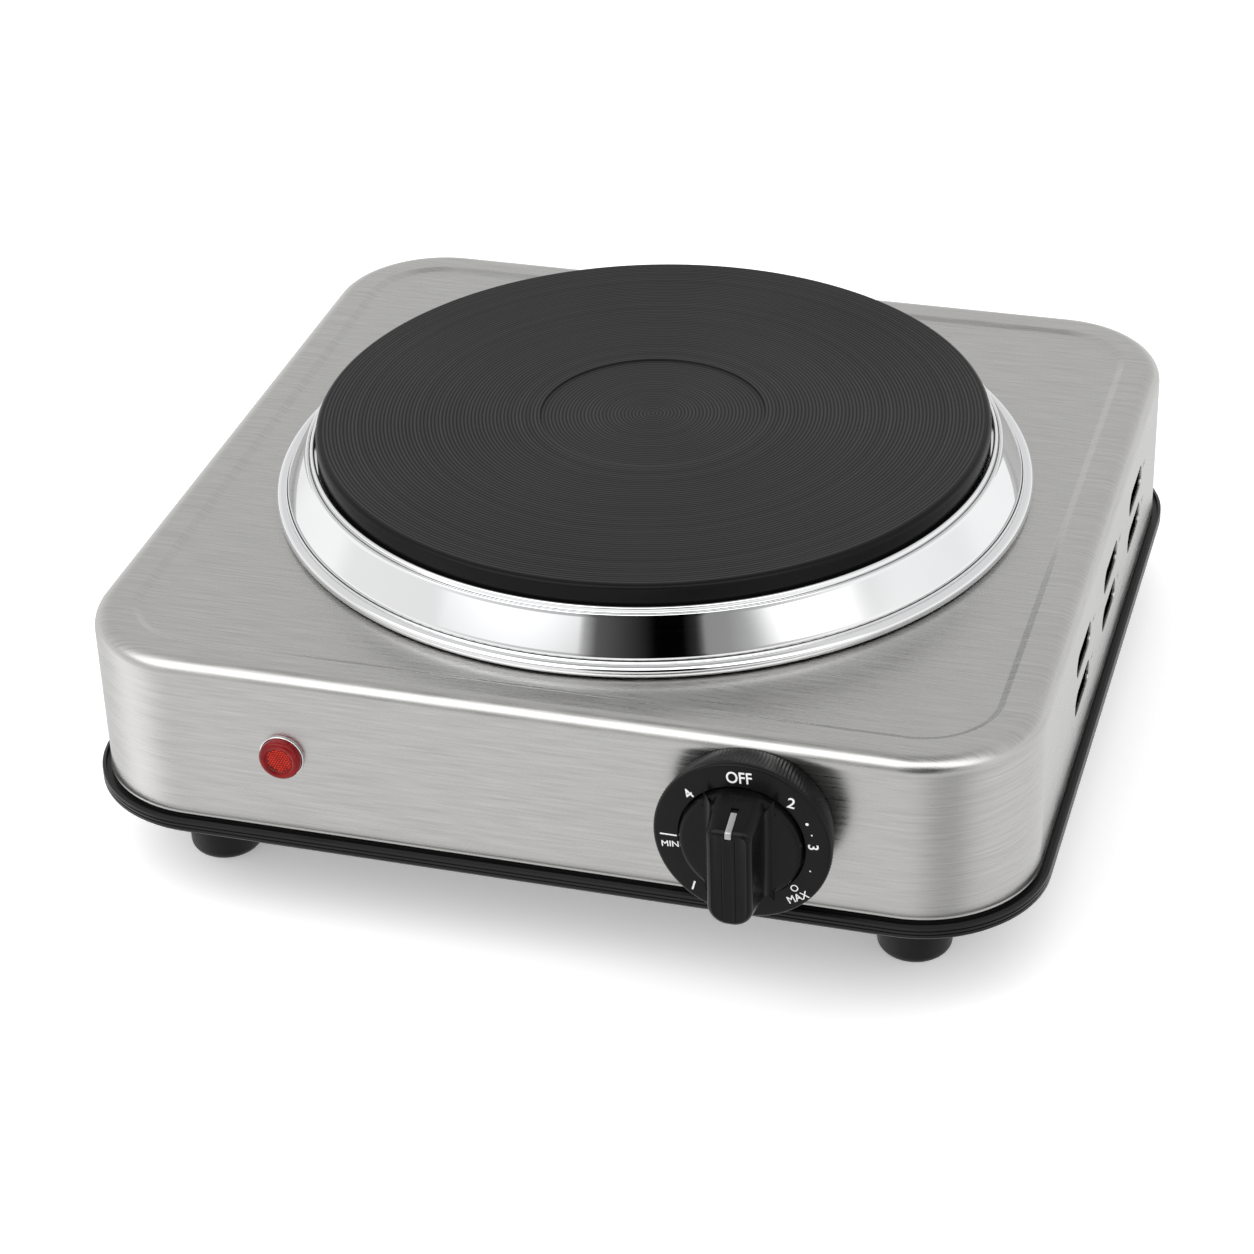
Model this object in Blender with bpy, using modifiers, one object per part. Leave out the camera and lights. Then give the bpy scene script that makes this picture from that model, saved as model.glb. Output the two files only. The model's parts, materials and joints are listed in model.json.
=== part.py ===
"""A single hot plate burner: a pressed steel body on a black base pan and four feet, a cast iron plate in a
chrome spill ring, a thermostat with its dial and knob, a pilot lamp and the wiring.

Metres, +Z up. The front faces -Y. The origin is on the floor, under the middle of the whole object's box.
"""

import math

import bmesh
import bpy
from mathutils import Vector

# ------------------------------------------------------------------------------------------------
# Driving dimensions
# ------------------------------------------------------------------------------------------------

TOUCH = 0.0003  # gap left between pieces that rest on each other
RUN_FIT = 0.0003  # gap round a piece that turns or slides in another
SCREW_FIT = 0.0003  # gap round a screw's shank

# Cast iron plate, whose radius the whole burner is sized from
PLATE_RADIUS = 0.0925
PLATE_PROUD = 0.0052  # above the spill ring
PLATE_EDGE = 0.0092  # thickness at its rim
PLATE_BEVEL = 0.0012
DISH_RADIUS = 0.0311
DISH_DEPTH = 0.0006
PLATE_CROWN = 0.0085  # thickness over the heater
SEAT_WIDTH = 0.005
WALL = 0.0035
WALL_DROP = 0.0083  # below the rim's seat
BOSS_RADIUS = 0.0140

# Spill ring
RING_SHEET = 0.001
RING_LIP_ROLL = 0.0031  # width of the rounded lip at its top
RING_GAP = 0.0006  # round the plate's edge
RING_HEIGHT = 0.0155  # above the deck
RING_SPREAD = 0.0083  # of its skirt, outwards
RING_FOOT_HEIGHT = 0.0044  # of the skirt's lower end above the deck
BEAD_REACH = 0.0031  # past the skirt's lower end
BEAD_RADIUS = 0.0015
FLANGE_GAP = 0.0011  # between the ring's flange and the plate's wall
DECK_LAP = 0.0094  # of the ring over the edge of the deck's hole

# Steel body
MARGIN_X = 0.0219  # from the ring to the side walls
MARGIN_Y = 0.0178  # from the ring to the front and rear walls
BODY_HEIGHT = 0.0471
CORNER_RADIUS = 0.0316
SHEET = 0.0008
DECK_FILLET = 0.005
STEP_INSET = 0.0105  # from the body's side to the step round the deck
STEP_RUN = 0.002
STEP_DROP = 0.0009

# Base pan and feet
RIM_PROUD = 0.0026
RIM_HEIGHT = 0.004
PAN_FLOOR = 0.002
LEDGE_ROUND = 0.0008
UPSTAND_HEIGHT = 0.0045  # above the steel's lower edge
UPSTAND_WALL = 0.002
FOOT_INSET_X = 0.0311
FOOT_INSET_Y = 0.0255
FOOT_HEIGHT = 0.022
FOOT_RADIUS = 0.0103
FOOT_TAPER = 0.0011
FOOT_ROUND = 0.001
FOOT_SCREW_RADIUS = 0.0015
FOOT_HEAD_RADIUS = 0.0038
FOOT_HEAD_HEIGHT = 0.0024
FOOT_WEB = 0.010  # rubber between the screw head and the pan
PAN_SLOT_LENGTH = 0.040
PAN_SLOT_WIDTH = 0.004
PAN_SLOT_PITCH = 0.012
PAN_SLOT_COUNT = 5
PAN_SLOT_Y = 0.042

# Corner brackets between pan and body
BRACKET_WIDTH = 0.022
BRACKET_SHIFT = 0.006  # inwards from the foot's axis
BRACKET_SHEET = 0.0012
BRACKET_TONGUE = 0.010  # of its floor leg past the foot's axis
BRACKET_HEIGHT = 0.0214  # above the steel's lower edge

# Vents in both sides of the body
VENT_LENGTH = 0.0222
VENT_HEIGHT = 0.0074
VENT_PITCH_Y = 0.0432
VENT_COLUMNS = 3
VENT_SHIFT_Y = 0.0096
VENT_DROP = 0.0182  # of the upper row's middle below the deck's rim
VENT_PITCH_Z = 0.0121
VENT_ROWS = 2

# Heater and clamp under the plate
COIL_RADIUS = 0.0022
COIL_SIDE_GAP = 0.010  # between the outer loop's middle and the plate's wall
COIL_PITCH = 0.018
PIN_SPACING = 0.016
PIN_Y = -0.048
COVER_MARGIN = 0.001
STUD_RADIUS = 0.003
STUD_TAIL = 0.007  # below the shield
STUD_DEPTH = 0.0078  # into the boss
CLAMP_LAP = 0.011  # of the channel past the edge of the deck's hole
CLAMP_WIDTH = 0.024
CLAMP_SHEET = 0.0015
CLAMP_FLANGE = 0.008
SPACER_RADIUS = 0.008
NUT_RADIUS = 0.0058
NUT_HEIGHT = 0.005
WASHER_RADIUS = 0.007
WASHER_HEIGHT = 0.0012
SHIELD_MARGIN = 0.0343  # room for the thermostat and lamp inside the front wall
SHIELD_SLOPE = 0.020
SHIELD_DEPTH = 0.0207  # below the deck's rim
SHIELD_DROP = 0.006
PLATE_BLOCK = (0.030, 0.012, 0.012)
PLATE_BLOCK_GAP = 0.0016  # under the cover

# Knob, dial and thermostat, on one axis through the front wall
KNOB_INSET = 0.0675  # from the right wall
DIAL_CLEAR = 0.0017  # of the wall's height left free below the dial
DIAL_FACE = 0.0105  # proud of the wall
DIAL_ROUND = 0.0008
DIAL_WALL = 0.002
DIAL_FLOOR = 0.002
DIAL_BUSH_WALL = 0.0026
HUB_MARGIN = 0.0071  # of the dial's face round the hub
HUB_RECESS = 0.0025
HUB_PROUD = 0.0022
HUB_EDGE = 0.0006  # chamfer round its face
SOCKET_WALL = 0.0013
SOCKET_ROOF = 0.0015  # of the hub over the shaft's end
STEM_FOOT = 0.0026  # of the knob's stem, clear of the wall
BAR_WIDTH = 0.0112
BAR_LAP = 0.0008  # of the bar's lower end past the hub's edge
BAR_PROUD = 0.013  # of the dial's face
BAR_LEAN = 0.0043
BAR_END_ROUND = 0.0048
BAR_EDGE_ROUND = 0.0011
POINTER_WIDTH = 0.0016
POINTER_LENGTH = 0.0068
POINTER_DEPTH = 0.001
POINTER_CORNER = 0.0006
POINTER_PLACE = 0.72  # share of the bar's height at the pointer's middle
SHAFT_RADIUS = 0.003
SHAFT_FLAT = 0.0009  # cut off the round
BUSH_WALL = 0.0014
BUSH_FLANGE_MARGIN = 0.0025
BUSH_FLANGE = 0.0025
BUSH_LENGTH = 0.0090
MOUNT_SHEET = 0.0012
MOUNT_LEFT = 0.020
MOUNT_RIGHT = 0.0125
MOUNT_MARGIN = 0.0035  # of its plate past the dial screws
MOUNT_FLANGE = 0.008
DIAL_SCREW_INSET = 0.0092  # from the dial's edge
DIAL_SCREW_RADIUS = 0.0011
DIAL_SCREW_HEAD = 0.0024
DIAL_SCREW_LENGTH = 0.0042
STACK_GAP = 0.0023  # between the bush's flange and the insulators
INSULATOR_RADIUS = 0.005
INSULATORS = (0.0070, 0.0040, 0.0040, 0.0030)
BLADES = (
    ("adjusting_blade", 0.0004, 0.0065, 0.0075),
    ("contact_blade", 0.0004, 0.0090, 0.0075),
    ("bimetal_strip", 0.0010, 0.0090, 0.0),
)  # name, thickness, reach past the knob's axis, length of the tab behind the stack
BLADE_WIDTH = 0.0068
RIVET_RADIUS = 0.0015
RIVET_HEAD = 0.003
CONTACT_RADIUS = 0.0016
CONTACT_X = 0.0045

# Pilot lamp
LAMP_INSET = 0.0608  # from the left wall
LAMP_DROP = 0.0243  # below the deck's rim
LENS_MARGIN = 0.0015  # of its flange round the stem
LENS_FLANGE = 0.0014
LENS_DOME = 0.0042
TUBE_RADIUS = 0.0045
TUBE_WALL = 0.0010
TUBE_LENGTH = 0.010
BULB_GAP = 0.0009
LAMP_PLUG_LENGTH = 0.006
CLIP_RADIUS = 0.0085
CLIP_SHEET = 0.0006

# Cord gland and mains terminals at the rear
GLAND_INSET = 0.0664  # from the right wall
GLAND_RISE = 0.0044  # of its flange above the pan's upstand
GLAND_BORE = 0.0037
GLAND_WALL = 0.0023
GLAND_MARGIN = 0.0025  # of its flanges round the neck
GLAND_PROUD = 0.003
GLAND_LIP = 0.0025
BLOCK_INSET = 0.0443  # from the rear wall
BLOCK_SIZE = (0.046, 0.016, 0.014)
BLOCK_WAYS = 5
BLOCK_WAY_PITCH = 0.0085
BLOCK_WAY_RADIUS = 0.0017
BLOCK_WAY_HEIGHT = 0.0075  # above the block's foot
BLOCK_SCREW_RADIUS = 0.0013
EARTH_ASIDE = 0.034  # from the block's middle
EARTH_BEHIND = 0.008
EARTH_SCREW_RADIUS = 0.0015
EARTH_HEAD_RADIUS = 0.0032

# Wiring
WIRE_RADIUS = 0.0011
LAMP_WIRE_RADIUS = 0.0009
FUSE_X = -0.045
FUSE_Y = -0.030
FUSE_RADIUS = 0.002
FUSE_LENGTH = 0.011
FUSE_LEAD = 0.003

# How finely round shapes are faceted
LARGE_STEPS = 48
MIDDLE_STEPS = 32
FOOT_STEPS = 20
SMALL_STEPS = 14
CORNER_STEPS = 8

# Radii round the plate's axis that follow from them
RING_FOOT_RADIUS = PLATE_RADIUS + RING_GAP + RING_SPREAD
BEAD_OUTER_RADIUS = RING_FOOT_RADIUS + BEAD_REACH
WALL_RADIUS = PLATE_RADIUS - SEAT_WIDTH
FLANGE_INNER_RADIUS = WALL_RADIUS + FLANGE_GAP
DECK_HOLE_RADIUS = RING_FOOT_RADIUS - DECK_LAP
COVER_RADIUS = WALL_RADIUS - COVER_MARGIN
COIL_OUTER = WALL_RADIUS - WALL - COIL_SIDE_GAP
CLAMP_HALF_LENGTH = DECK_HOLE_RADIUS + CLAMP_LAP

# Places in plan
HALF_WIDTH = BEAD_OUTER_RADIUS + MARGIN_X
HALF_DEPTH = BEAD_OUTER_RADIUS + MARGIN_Y
SHIELD_RADIUS = HALF_DEPTH - SHIELD_MARGIN
KNOB_X = HALF_WIDTH - KNOB_INSET
LAMP_X = LAMP_INSET - HALF_WIDTH
GLAND_X = HALF_WIDTH - GLAND_INSET
BLOCK_Y = HALF_DEPTH - BLOCK_INSET
EARTH_X = GLAND_X - EARTH_ASIDE
EARTH_Y = BLOCK_Y + EARTH_BEHIND
FOOT_X = HALF_WIDTH - FOOT_INSET_X
FOOT_Y = HALF_DEPTH - FOOT_INSET_Y

# Levels, from the floor up
UPSTAND_INSET = SHEET + TOUCH
PAN_UNDER_Z = FOOT_HEIGHT + TOUCH
FLOOR_Z = PAN_UNDER_Z + PAN_FLOOR
LEDGE_Z = PAN_UNDER_Z + RIM_HEIGHT
SKIRT_Z = LEDGE_Z + TOUCH
UPSTAND_TOP_Z = SKIRT_Z + UPSTAND_HEIGHT
DECK_Z = SKIRT_Z + BODY_HEIGHT
TRAY_Z = DECK_Z - STEP_DROP
TRAY_UNDER_Z = TRAY_Z - SHEET
CLAMP_TOP_Z = TRAY_UNDER_Z - TOUCH
CLAMP_UNDER_Z = CLAMP_TOP_Z - CLAMP_SHEET
RING_FOOT_Z = TRAY_Z + RING_FOOT_HEIGHT
RING_SHOULDER_Z = TRAY_Z + RING_HEIGHT
PLATE_TOP_Z = RING_SHOULDER_Z + PLATE_PROUD
SEAT_Z = PLATE_TOP_Z - PLATE_EDGE
WALL_FOOT_Z = SEAT_Z - WALL_DROP
COVER_Z = WALL_FOOT_Z - TOUCH
COIL_Z = (WALL_FOOT_Z + PLATE_TOP_Z - PLATE_CROWN) / 2
BLOCK_TOP_Z = COVER_Z - SHEET - PLATE_BLOCK_GAP
SHIELD_Z = DECK_Z - SHIELD_DEPTH
STUD_FOOT_Z = SHIELD_Z - STUD_TAIL
LAMP_Z = DECK_Z - LAMP_DROP
BRACKET_TOP_Z = SKIRT_Z + BRACKET_HEIGHT

# Round the knob's axis, and out along it from the wall's outer face
DIAL_RADIUS = (BODY_HEIGHT - DIAL_CLEAR) / 2
KNOB_Z = DECK_Z - DIAL_RADIUS
HUB_RADIUS = DIAL_RADIUS - HUB_MARGIN
BAR_REACH = HUB_RADIUS
STEM_RADIUS = SHAFT_RADIUS + RUN_FIT + SOCKET_WALL
DIAL_BORE = STEM_RADIUS + RUN_FIT
BUSH_RADIUS = SHAFT_RADIUS + RUN_FIT + BUSH_WALL
BUSH_FLANGE_RADIUS = BUSH_RADIUS + BUSH_FLANGE_MARGIN
STACK_X = BUSH_FLANGE_RADIUS + STACK_GAP + INSULATOR_RADIUS
DIAL_SCREW_Y = DIAL_RADIUS - DIAL_SCREW_INSET
MOUNT_HALF_HEIGHT = DIAL_SCREW_Y + MOUNT_MARGIN
HUB_BACK = DIAL_FACE - HUB_RECESS + RUN_FIT
HUB_FACE = DIAL_FACE + HUB_PROUD
BAR_FRONT = DIAL_FACE + BAR_PROUD
MOUNT_FACE = -(SHEET + TOUCH)
MOUNT_BACK = MOUNT_FACE - MOUNT_SHEET
SHAFT_TIP = MOUNT_BACK - INSULATORS[0] - TOUCH

# Round the lamp's and the gland's axes
LENS_RADIUS = TUBE_RADIUS + LENS_MARGIN
BULB_RADIUS = TUBE_RADIUS - TUBE_WALL - BULB_GAP
GLAND_NECK = GLAND_BORE + GLAND_WALL
GLAND_FLANGE = GLAND_NECK + GLAND_MARGIN
GLAND_Z = UPSTAND_TOP_Z + GLAND_RISE + GLAND_FLANGE

# The body's middle stands back from the origin, which is under the middle of the whole object's box
FRONT_REACH = HALF_DEPTH + BAR_FRONT
REAR_REACH = HALF_DEPTH + max(RIM_PROUD, GLAND_PROUD)
BODY_Y = (FRONT_REACH - REAR_REACH) / 2
FOOT_PLACES = {
    "front_left": (-FOOT_X, -FOOT_Y),
    "front_right": (FOOT_X, -FOOT_Y),
    "rear_left": (-FOOT_X, FOOT_Y),
    "rear_right": (FOOT_X, FOOT_Y),
}


# ------------------------------------------------------------------------------------------------
# Scene, finishes and placing
# ------------------------------------------------------------------------------------------------

for old in list(bpy.data.objects):
    bpy.data.objects.remove(old, do_unlink=True)

PARTS = bpy.data.collections.new("hot_plate_burner")
CUTTERS = bpy.data.collections.new("cutters")
bpy.context.scene.collection.children.link(PARTS)
bpy.context.scene.collection.children.link(CUTTERS)


def finish(name, colour, roughness, metallic=0.0):
    """A Principled BSDF material."""
    made = bpy.data.materials.new(name)
    made.use_nodes = True
    shader = made.node_tree.nodes["Principled BSDF"]
    shader.inputs["Base Color"].default_value = (*colour, 1.0)
    shader.inputs["Roughness"].default_value = roughness
    shader.inputs["Metallic"].default_value = metallic
    made.diffuse_color = (*colour, 1.0)
    return made


STEEL = finish("brushed_steel", (0.56, 0.55, 0.54), 0.34, 1.0)
CHROME = finish("chrome", (0.85, 0.85, 0.86), 0.06, 1.0)
IRON = finish("cast_iron", (0.035, 0.035, 0.036), 0.55, 0.3)
BASE_BLACK = finish("base_black", (0.030, 0.031, 0.033), 0.42)
KNOB_BLACK = finish("knob_black", (0.018, 0.018, 0.019), 0.40)
RUBBER = finish("rubber", (0.012, 0.012, 0.012), 0.75)
ZINC = finish("zinc_steel", (0.62, 0.62, 0.60), 0.35, 1.0)
SILVER = finish("pointer_silver", (0.52, 0.52, 0.53), 0.40, 0.6)
RED_LENS = finish("red_lens", (0.55, 0.02, 0.015), 0.12)
GLASS = finish("bulb_glass", (0.85, 0.62, 0.45), 0.08)
CERAMIC = finish("ceramic", (0.86, 0.83, 0.76), 0.50)
BRASS = finish("brass", (0.72, 0.52, 0.24), 0.32, 1.0)
HEATER = finish("heater_sheath", (0.20, 0.17, 0.15), 0.55, 0.8)
WIRE_BROWN = finish("wire_brown", (0.20, 0.08, 0.03), 0.50)
WIRE_BLUE = finish("wire_blue", (0.03, 0.10, 0.40), 0.50)
WIRE_GREEN = finish("wire_green", (0.12, 0.40, 0.06), 0.50)
WIRE_WHITE = finish("wire_white", (0.78, 0.76, 0.70), 0.55)


def axis_empty(name, location, rotation=(0, 0, 0), parent=None):
    """An empty that places the pieces that share an axis."""
    empty = bpy.data.objects.new(name, None)
    empty.empty_display_size = 0.01
    empty.location = location
    empty.rotation_euler = rotation
    empty.parent = parent
    PARTS.objects.link(empty)
    return empty


# The body's middle, and the axes through its walls, along which local +Z points out of the wall
FRAME = axis_empty("burner_frame", (0, BODY_Y, 0))
KNOB_AXIS = axis_empty("knob_axis", (KNOB_X, -HALF_DEPTH, KNOB_Z), (math.pi / 2, 0, 0), FRAME)
LAMP_AXIS = axis_empty("lamp_axis", (LAMP_X, -HALF_DEPTH, LAMP_Z), (math.pi / 2, 0, 0), FRAME)
GLAND_AXIS = axis_empty("gland_axis", (GLAND_X, HALF_DEPTH, GLAND_Z), (-math.pi / 2, 0, 0), FRAME)


def place(name, data, material, location=(0, 0, 0), parent=FRAME, rotation=(0, 0, 0)):
    """A part made from a mesh or curve."""
    part = bpy.data.objects.new(name, data)
    part.location = location
    part.rotation_euler = rotation
    part.parent = parent
    if not data.materials:
        data.materials.append(material)
    PARTS.objects.link(part)
    return part


def cutter(name, data, location=(0, 0, 0), parent=FRAME, rotation=(0, 0, 0)):
    """A guide solid for a Boolean, left out of the finished object."""
    guide = bpy.data.objects.new(name, data)
    guide.location = location
    guide.rotation_euler = rotation
    guide.parent = parent
    guide.hide_render = True
    guide.display_type = "WIRE"
    CUTTERS.objects.link(guide)
    return guide


def boolean(part, guide, operation="DIFFERENCE"):
    """Cuts the guide out of the part, or joins it on."""
    step = part.modifiers.new(guide.name, "BOOLEAN")
    step.operation = operation
    step.solver = "EXACT"
    step.object = guide


# ------------------------------------------------------------------------------------------------
# Shapes
# ------------------------------------------------------------------------------------------------


def mesh_from(bm, name):
    """A mesh data block from a bmesh, which is then freed."""
    mesh = bpy.data.meshes.new(name)
    bmesh.ops.recalc_face_normals(bm, faces=bm.faces)
    bm.to_mesh(mesh)
    bm.free()
    return mesh


def rounded_box(name, size, radius=0.0, axis="Z", segments=CORNER_STEPS):
    """A box centred on its origin, with the four edges along one axis rounded."""
    bm = bmesh.new()
    bmesh.ops.create_cube(bm, size=1.0)
    bmesh.ops.scale(bm, vec=size, verts=bm.verts)
    if radius:
        k = "XYZ".index(axis)
        along = [e for e in bm.edges if abs((e.verts[0].co - e.verts[1].co)[k]) > size[k] / 2]
        bmesh.ops.bevel(bm, geom=along, offset=radius, segments=segments, profile=0.5, affect="EDGES")
    return mesh_from(bm, name)


def cylinder(name, radius, length, segments=SMALL_STEPS):
    """A round bar along Z, centred on its origin."""
    bm = bmesh.new()
    bmesh.ops.create_cone(
        bm, cap_ends=True, segments=segments, radius1=radius, radius2=radius, depth=length
    )
    return mesh_from(bm, name)


def turn(part, steps):
    """Turns a part's profile about its local Z axis."""
    screw = part.modifiers.new("turn", "SCREW")
    screw.axis = "Z"
    screw.steps = steps
    screw.render_steps = steps
    screw.use_merge_vertices = True
    screw.merge_threshold = 0.00001
    return part


def profile_mesh(name, profile):
    """A profile of (radius, height) points that runs out along the top, down the side and back under."""
    count = len(profile)
    edges = [(i, i + 1) for i in range(count - 1)]
    if profile[0][0] > 0:
        edges.append((count - 1, 0))
    mesh = bpy.data.meshes.new(name)
    mesh.from_pydata([(radius, 0, height) for radius, height in profile], edges, [])
    return mesh


def turned(name, profile, steps, material, location=(0, 0, 0), parent=FRAME):
    """A turned part. Its profile starts and ends on the axis, or closes on itself off it."""
    return turn(place(name, profile_mesh(name, profile), material, location, parent), steps)


def ring_profile(inner, outer, top, foot):
    """The section of a plain ring, or of a disc where inner is 0."""
    return [(inner, top), (outer, top), (outer, foot), (inner, foot)]


def arc(centre, radius, start, end, count):
    """Points on an arc in the (radius, height) plane, from one angle to another in degrees."""
    angles = [math.radians(start + (end - start) * i / count) for i in range(count + 1)]
    return [(centre[0] + radius * math.cos(a), centre[1] + radius * math.sin(a)) for a in angles]


def bent_strip(
    name, path, width, thickness, material, location=(0, 0, 0), parent=FRAME, rotation=(0, 0, 0)
):
    """A sheet strip whose middle follows a path of (y, z) points, centred on X."""
    bm = bmesh.new()
    line = [bm.verts.new((-width / 2, y, z)) for y, z in path]
    edges = [bm.edges.new(pair) for pair in zip(line, line[1:])]
    swept = bmesh.ops.extrude_edge_only(bm, edges=edges)["geom"]
    moved = [v for v in swept if isinstance(v, bmesh.types.BMVert)]
    bmesh.ops.translate(bm, vec=(width, 0, 0), verts=moved)
    part = place(name, mesh_from(bm, name), material, location, parent, rotation)
    wall = part.modifiers.new("sheet", "SOLIDIFY")
    wall.thickness = thickness
    wall.offset = 0
    wall.use_even_offset = True
    return part


def smooth_route(points, spacing):
    """Points along a smooth curve through the given points, about one spacing apart."""
    ends = [points[0]] + [Vector(p) for p in points] + [points[-1]]
    ends[0] = 2 * ends[1] - ends[2]
    ends[-1] = 2 * ends[-2] - ends[-3]
    route = [ends[1].copy()]
    for a, b, c, d in zip(ends, ends[1:], ends[2:], ends[3:]):
        count = max(1, round((c - b).length / spacing))
        for i in range(1, count + 1):
            t = i / count
            square = (2 * a - 5 * b + 4 * c - d) * t**2
            cube = (3 * b - a - 3 * c + d) * t**3
            route.append(0.5 * (2 * b + (c - a) * t + square + cube))
    return route


def tube(name, route, radius, material):
    """A round tube along the points of a route, with closed ends."""
    curve = bpy.data.curves.new(name, "CURVE")
    curve.dimensions = "3D"
    curve.bevel_depth = radius
    curve.bevel_resolution = 2
    curve.use_fill_caps = True
    spline = curve.splines.new("POLY")
    spline.points.add(len(route) - 1)
    for point, co in zip(spline.points, route):
        point.co = (*co, 1.0)
    return place(name, curve, material)


# ------------------------------------------------------------------------------------------------
# Steel body
# ------------------------------------------------------------------------------------------------


def body_surface():
    """The outer surface of the pressed body, open below: rounded corners, rolled top edge, stepped deck."""
    bm = bmesh.new()
    bmesh.ops.create_cube(bm, size=1.0)
    bmesh.ops.scale(bm, vec=(2 * HALF_WIDTH, 2 * HALF_DEPTH, DECK_Z - SKIRT_Z), verts=bm.verts)
    bmesh.ops.translate(bm, vec=(0, 0, (DECK_Z + SKIRT_Z) / 2), verts=bm.verts)
    upright = [e for e in bm.edges if abs(e.verts[0].co.z - e.verts[1].co.z) > SHEET]
    bmesh.ops.bevel(
        bm, geom=upright, offset=CORNER_RADIUS, segments=CORNER_STEPS, profile=0.5, affect="EDGES"
    )
    bmesh.ops.delete(bm, geom=[f for f in bm.faces if f.normal.z < -0.9], context="FACES_ONLY")
    deck = max(bm.faces, key=lambda f: f.calc_center_median().z)
    bmesh.ops.bevel(bm, geom=deck.edges[:], offset=DECK_FILLET, segments=4, profile=0.5, affect="EDGES")
    deck = max(bm.faces, key=lambda f: f.calc_area() * (f.normal.z > 0.9))
    bmesh.ops.inset_region(bm, faces=[deck], thickness=STEP_INSET - DECK_FILLET, use_even_offset=True)
    bmesh.ops.inset_region(bm, faces=[deck], thickness=STEP_RUN, depth=-STEP_DROP, use_even_offset=True)
    return mesh_from(bm, "body_shell")


def make_body():
    """The steel body with its plate hole, vents, and the holes for dial, lamp and cord."""
    body = place("body_shell", body_surface(), STEEL)
    wall = body.modifiers.new("sheet", "SOLIDIFY")
    wall.thickness = SHEET
    wall.offset = -1
    wall.use_even_offset = True
    through = 10 * SHEET
    hole = cylinder("plate_hole", DECK_HOLE_RADIUS, through, LARGE_STEPS)
    boolean(body, cutter("plate_hole", hole, (0, 0, TRAY_Z)))
    slot_size = (through, VENT_LENGTH, VENT_HEIGHT)
    slot = rounded_box("vent", slot_size, 0.48 * VENT_HEIGHT, "X", 3)
    for side in (-1, 1):
        for row in range(VENT_ROWS):
            for column in range(VENT_COLUMNS):
                y = VENT_SHIFT_Y + (column - (VENT_COLUMNS - 1) / 2) * VENT_PITCH_Y
                z = DECK_Z - VENT_DROP - row * VENT_PITCH_Z
                boolean(body, cutter("vent", slot, (side * (HALF_WIDTH - SHEET / 2), y, z)))
    bores = (
        (KNOB_AXIS, BUSH_RADIUS + RUN_FIT, (0, 0, 0)),
        (KNOB_AXIS, DIAL_SCREW_RADIUS + SCREW_FIT, (0, DIAL_SCREW_Y, 0)),
        (KNOB_AXIS, DIAL_SCREW_RADIUS + SCREW_FIT, (0, -DIAL_SCREW_Y, 0)),
        (LAMP_AXIS, TUBE_RADIUS + RUN_FIT, (0, 0, 0)),
        (GLAND_AXIS, GLAND_NECK + RUN_FIT, (0, 0, 0)),
    )
    for axis, radius, location in bores:
        boolean(body, cutter("wall_bore", cylinder("wall_bore", radius, through), location, axis))


def make_base_pan():
    """The black pan: an outer ledge that the steel stands on, and an upstand inside the steel."""
    ledge_size = (2 * (HALF_WIDTH + RIM_PROUD), 2 * (HALF_DEPTH + RIM_PROUD), LEDGE_Z - PAN_UNDER_Z)
    ledge = rounded_box("base_pan", ledge_size, CORNER_RADIUS + RIM_PROUD)
    pan = place("base_pan", ledge, BASE_BLACK, (0, 0, (LEDGE_Z + PAN_UNDER_Z) / 2))
    edge = pan.modifiers.new("edge", "BEVEL")
    edge.width = LEDGE_ROUND
    edge.segments = 2
    edge.limit_method = "ANGLE"
    upstand_foot = (PAN_UNDER_Z + LEDGE_Z) / 2
    half_x = HALF_WIDTH - UPSTAND_INSET
    half_y = HALF_DEPTH - UPSTAND_INSET
    radius = CORNER_RADIUS - UPSTAND_INSET
    upstand = rounded_box("upstand", (2 * half_x, 2 * half_y, UPSTAND_TOP_Z - upstand_foot), radius)
    boolean(pan, cutter("upstand", upstand, (0, 0, (UPSTAND_TOP_Z + upstand_foot) / 2)), "UNION")
    pocket_depth = 2 * (UPSTAND_TOP_Z - FLOOR_Z)
    pocket_size = (2 * (half_x - UPSTAND_WALL), 2 * (half_y - UPSTAND_WALL), pocket_depth)
    pocket = rounded_box("pocket", pocket_size, radius - UPSTAND_WALL)
    boolean(pan, cutter("pocket", pocket, (0, 0, FLOOR_Z + pocket_depth / 2)))
    through = 4 * PAN_FLOOR
    floor_middle = FLOOR_Z - PAN_FLOOR / 2
    slot_size = (PAN_SLOT_WIDTH, PAN_SLOT_LENGTH, through)
    slot = rounded_box("pan_slot", slot_size, 0.48 * PAN_SLOT_WIDTH, "Z", 3)
    for i in range(PAN_SLOT_COUNT):
        x = (i - (PAN_SLOT_COUNT - 1) / 2) * PAN_SLOT_PITCH
        boolean(pan, cutter("pan_slot", slot, (x, -PAN_SLOT_Y, floor_middle)))
        boolean(pan, cutter("pan_slot", slot, (x, PAN_SLOT_Y, floor_middle)))
    holes = [(x, y, FOOT_SCREW_RADIUS) for x, y in FOOT_PLACES.values()]
    holes.append((GLAND_X + BLOCK_WAY_PITCH / 2, BLOCK_Y, BLOCK_SCREW_RADIUS))
    holes.append((EARTH_X, EARTH_Y, EARTH_SCREW_RADIUS))
    for x, y, radius in holes:
        hole = cylinder("pan_hole", radius + SCREW_FIT, through)
        boolean(pan, cutter("pan_hole", hole, (x, y, floor_middle)))


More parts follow.
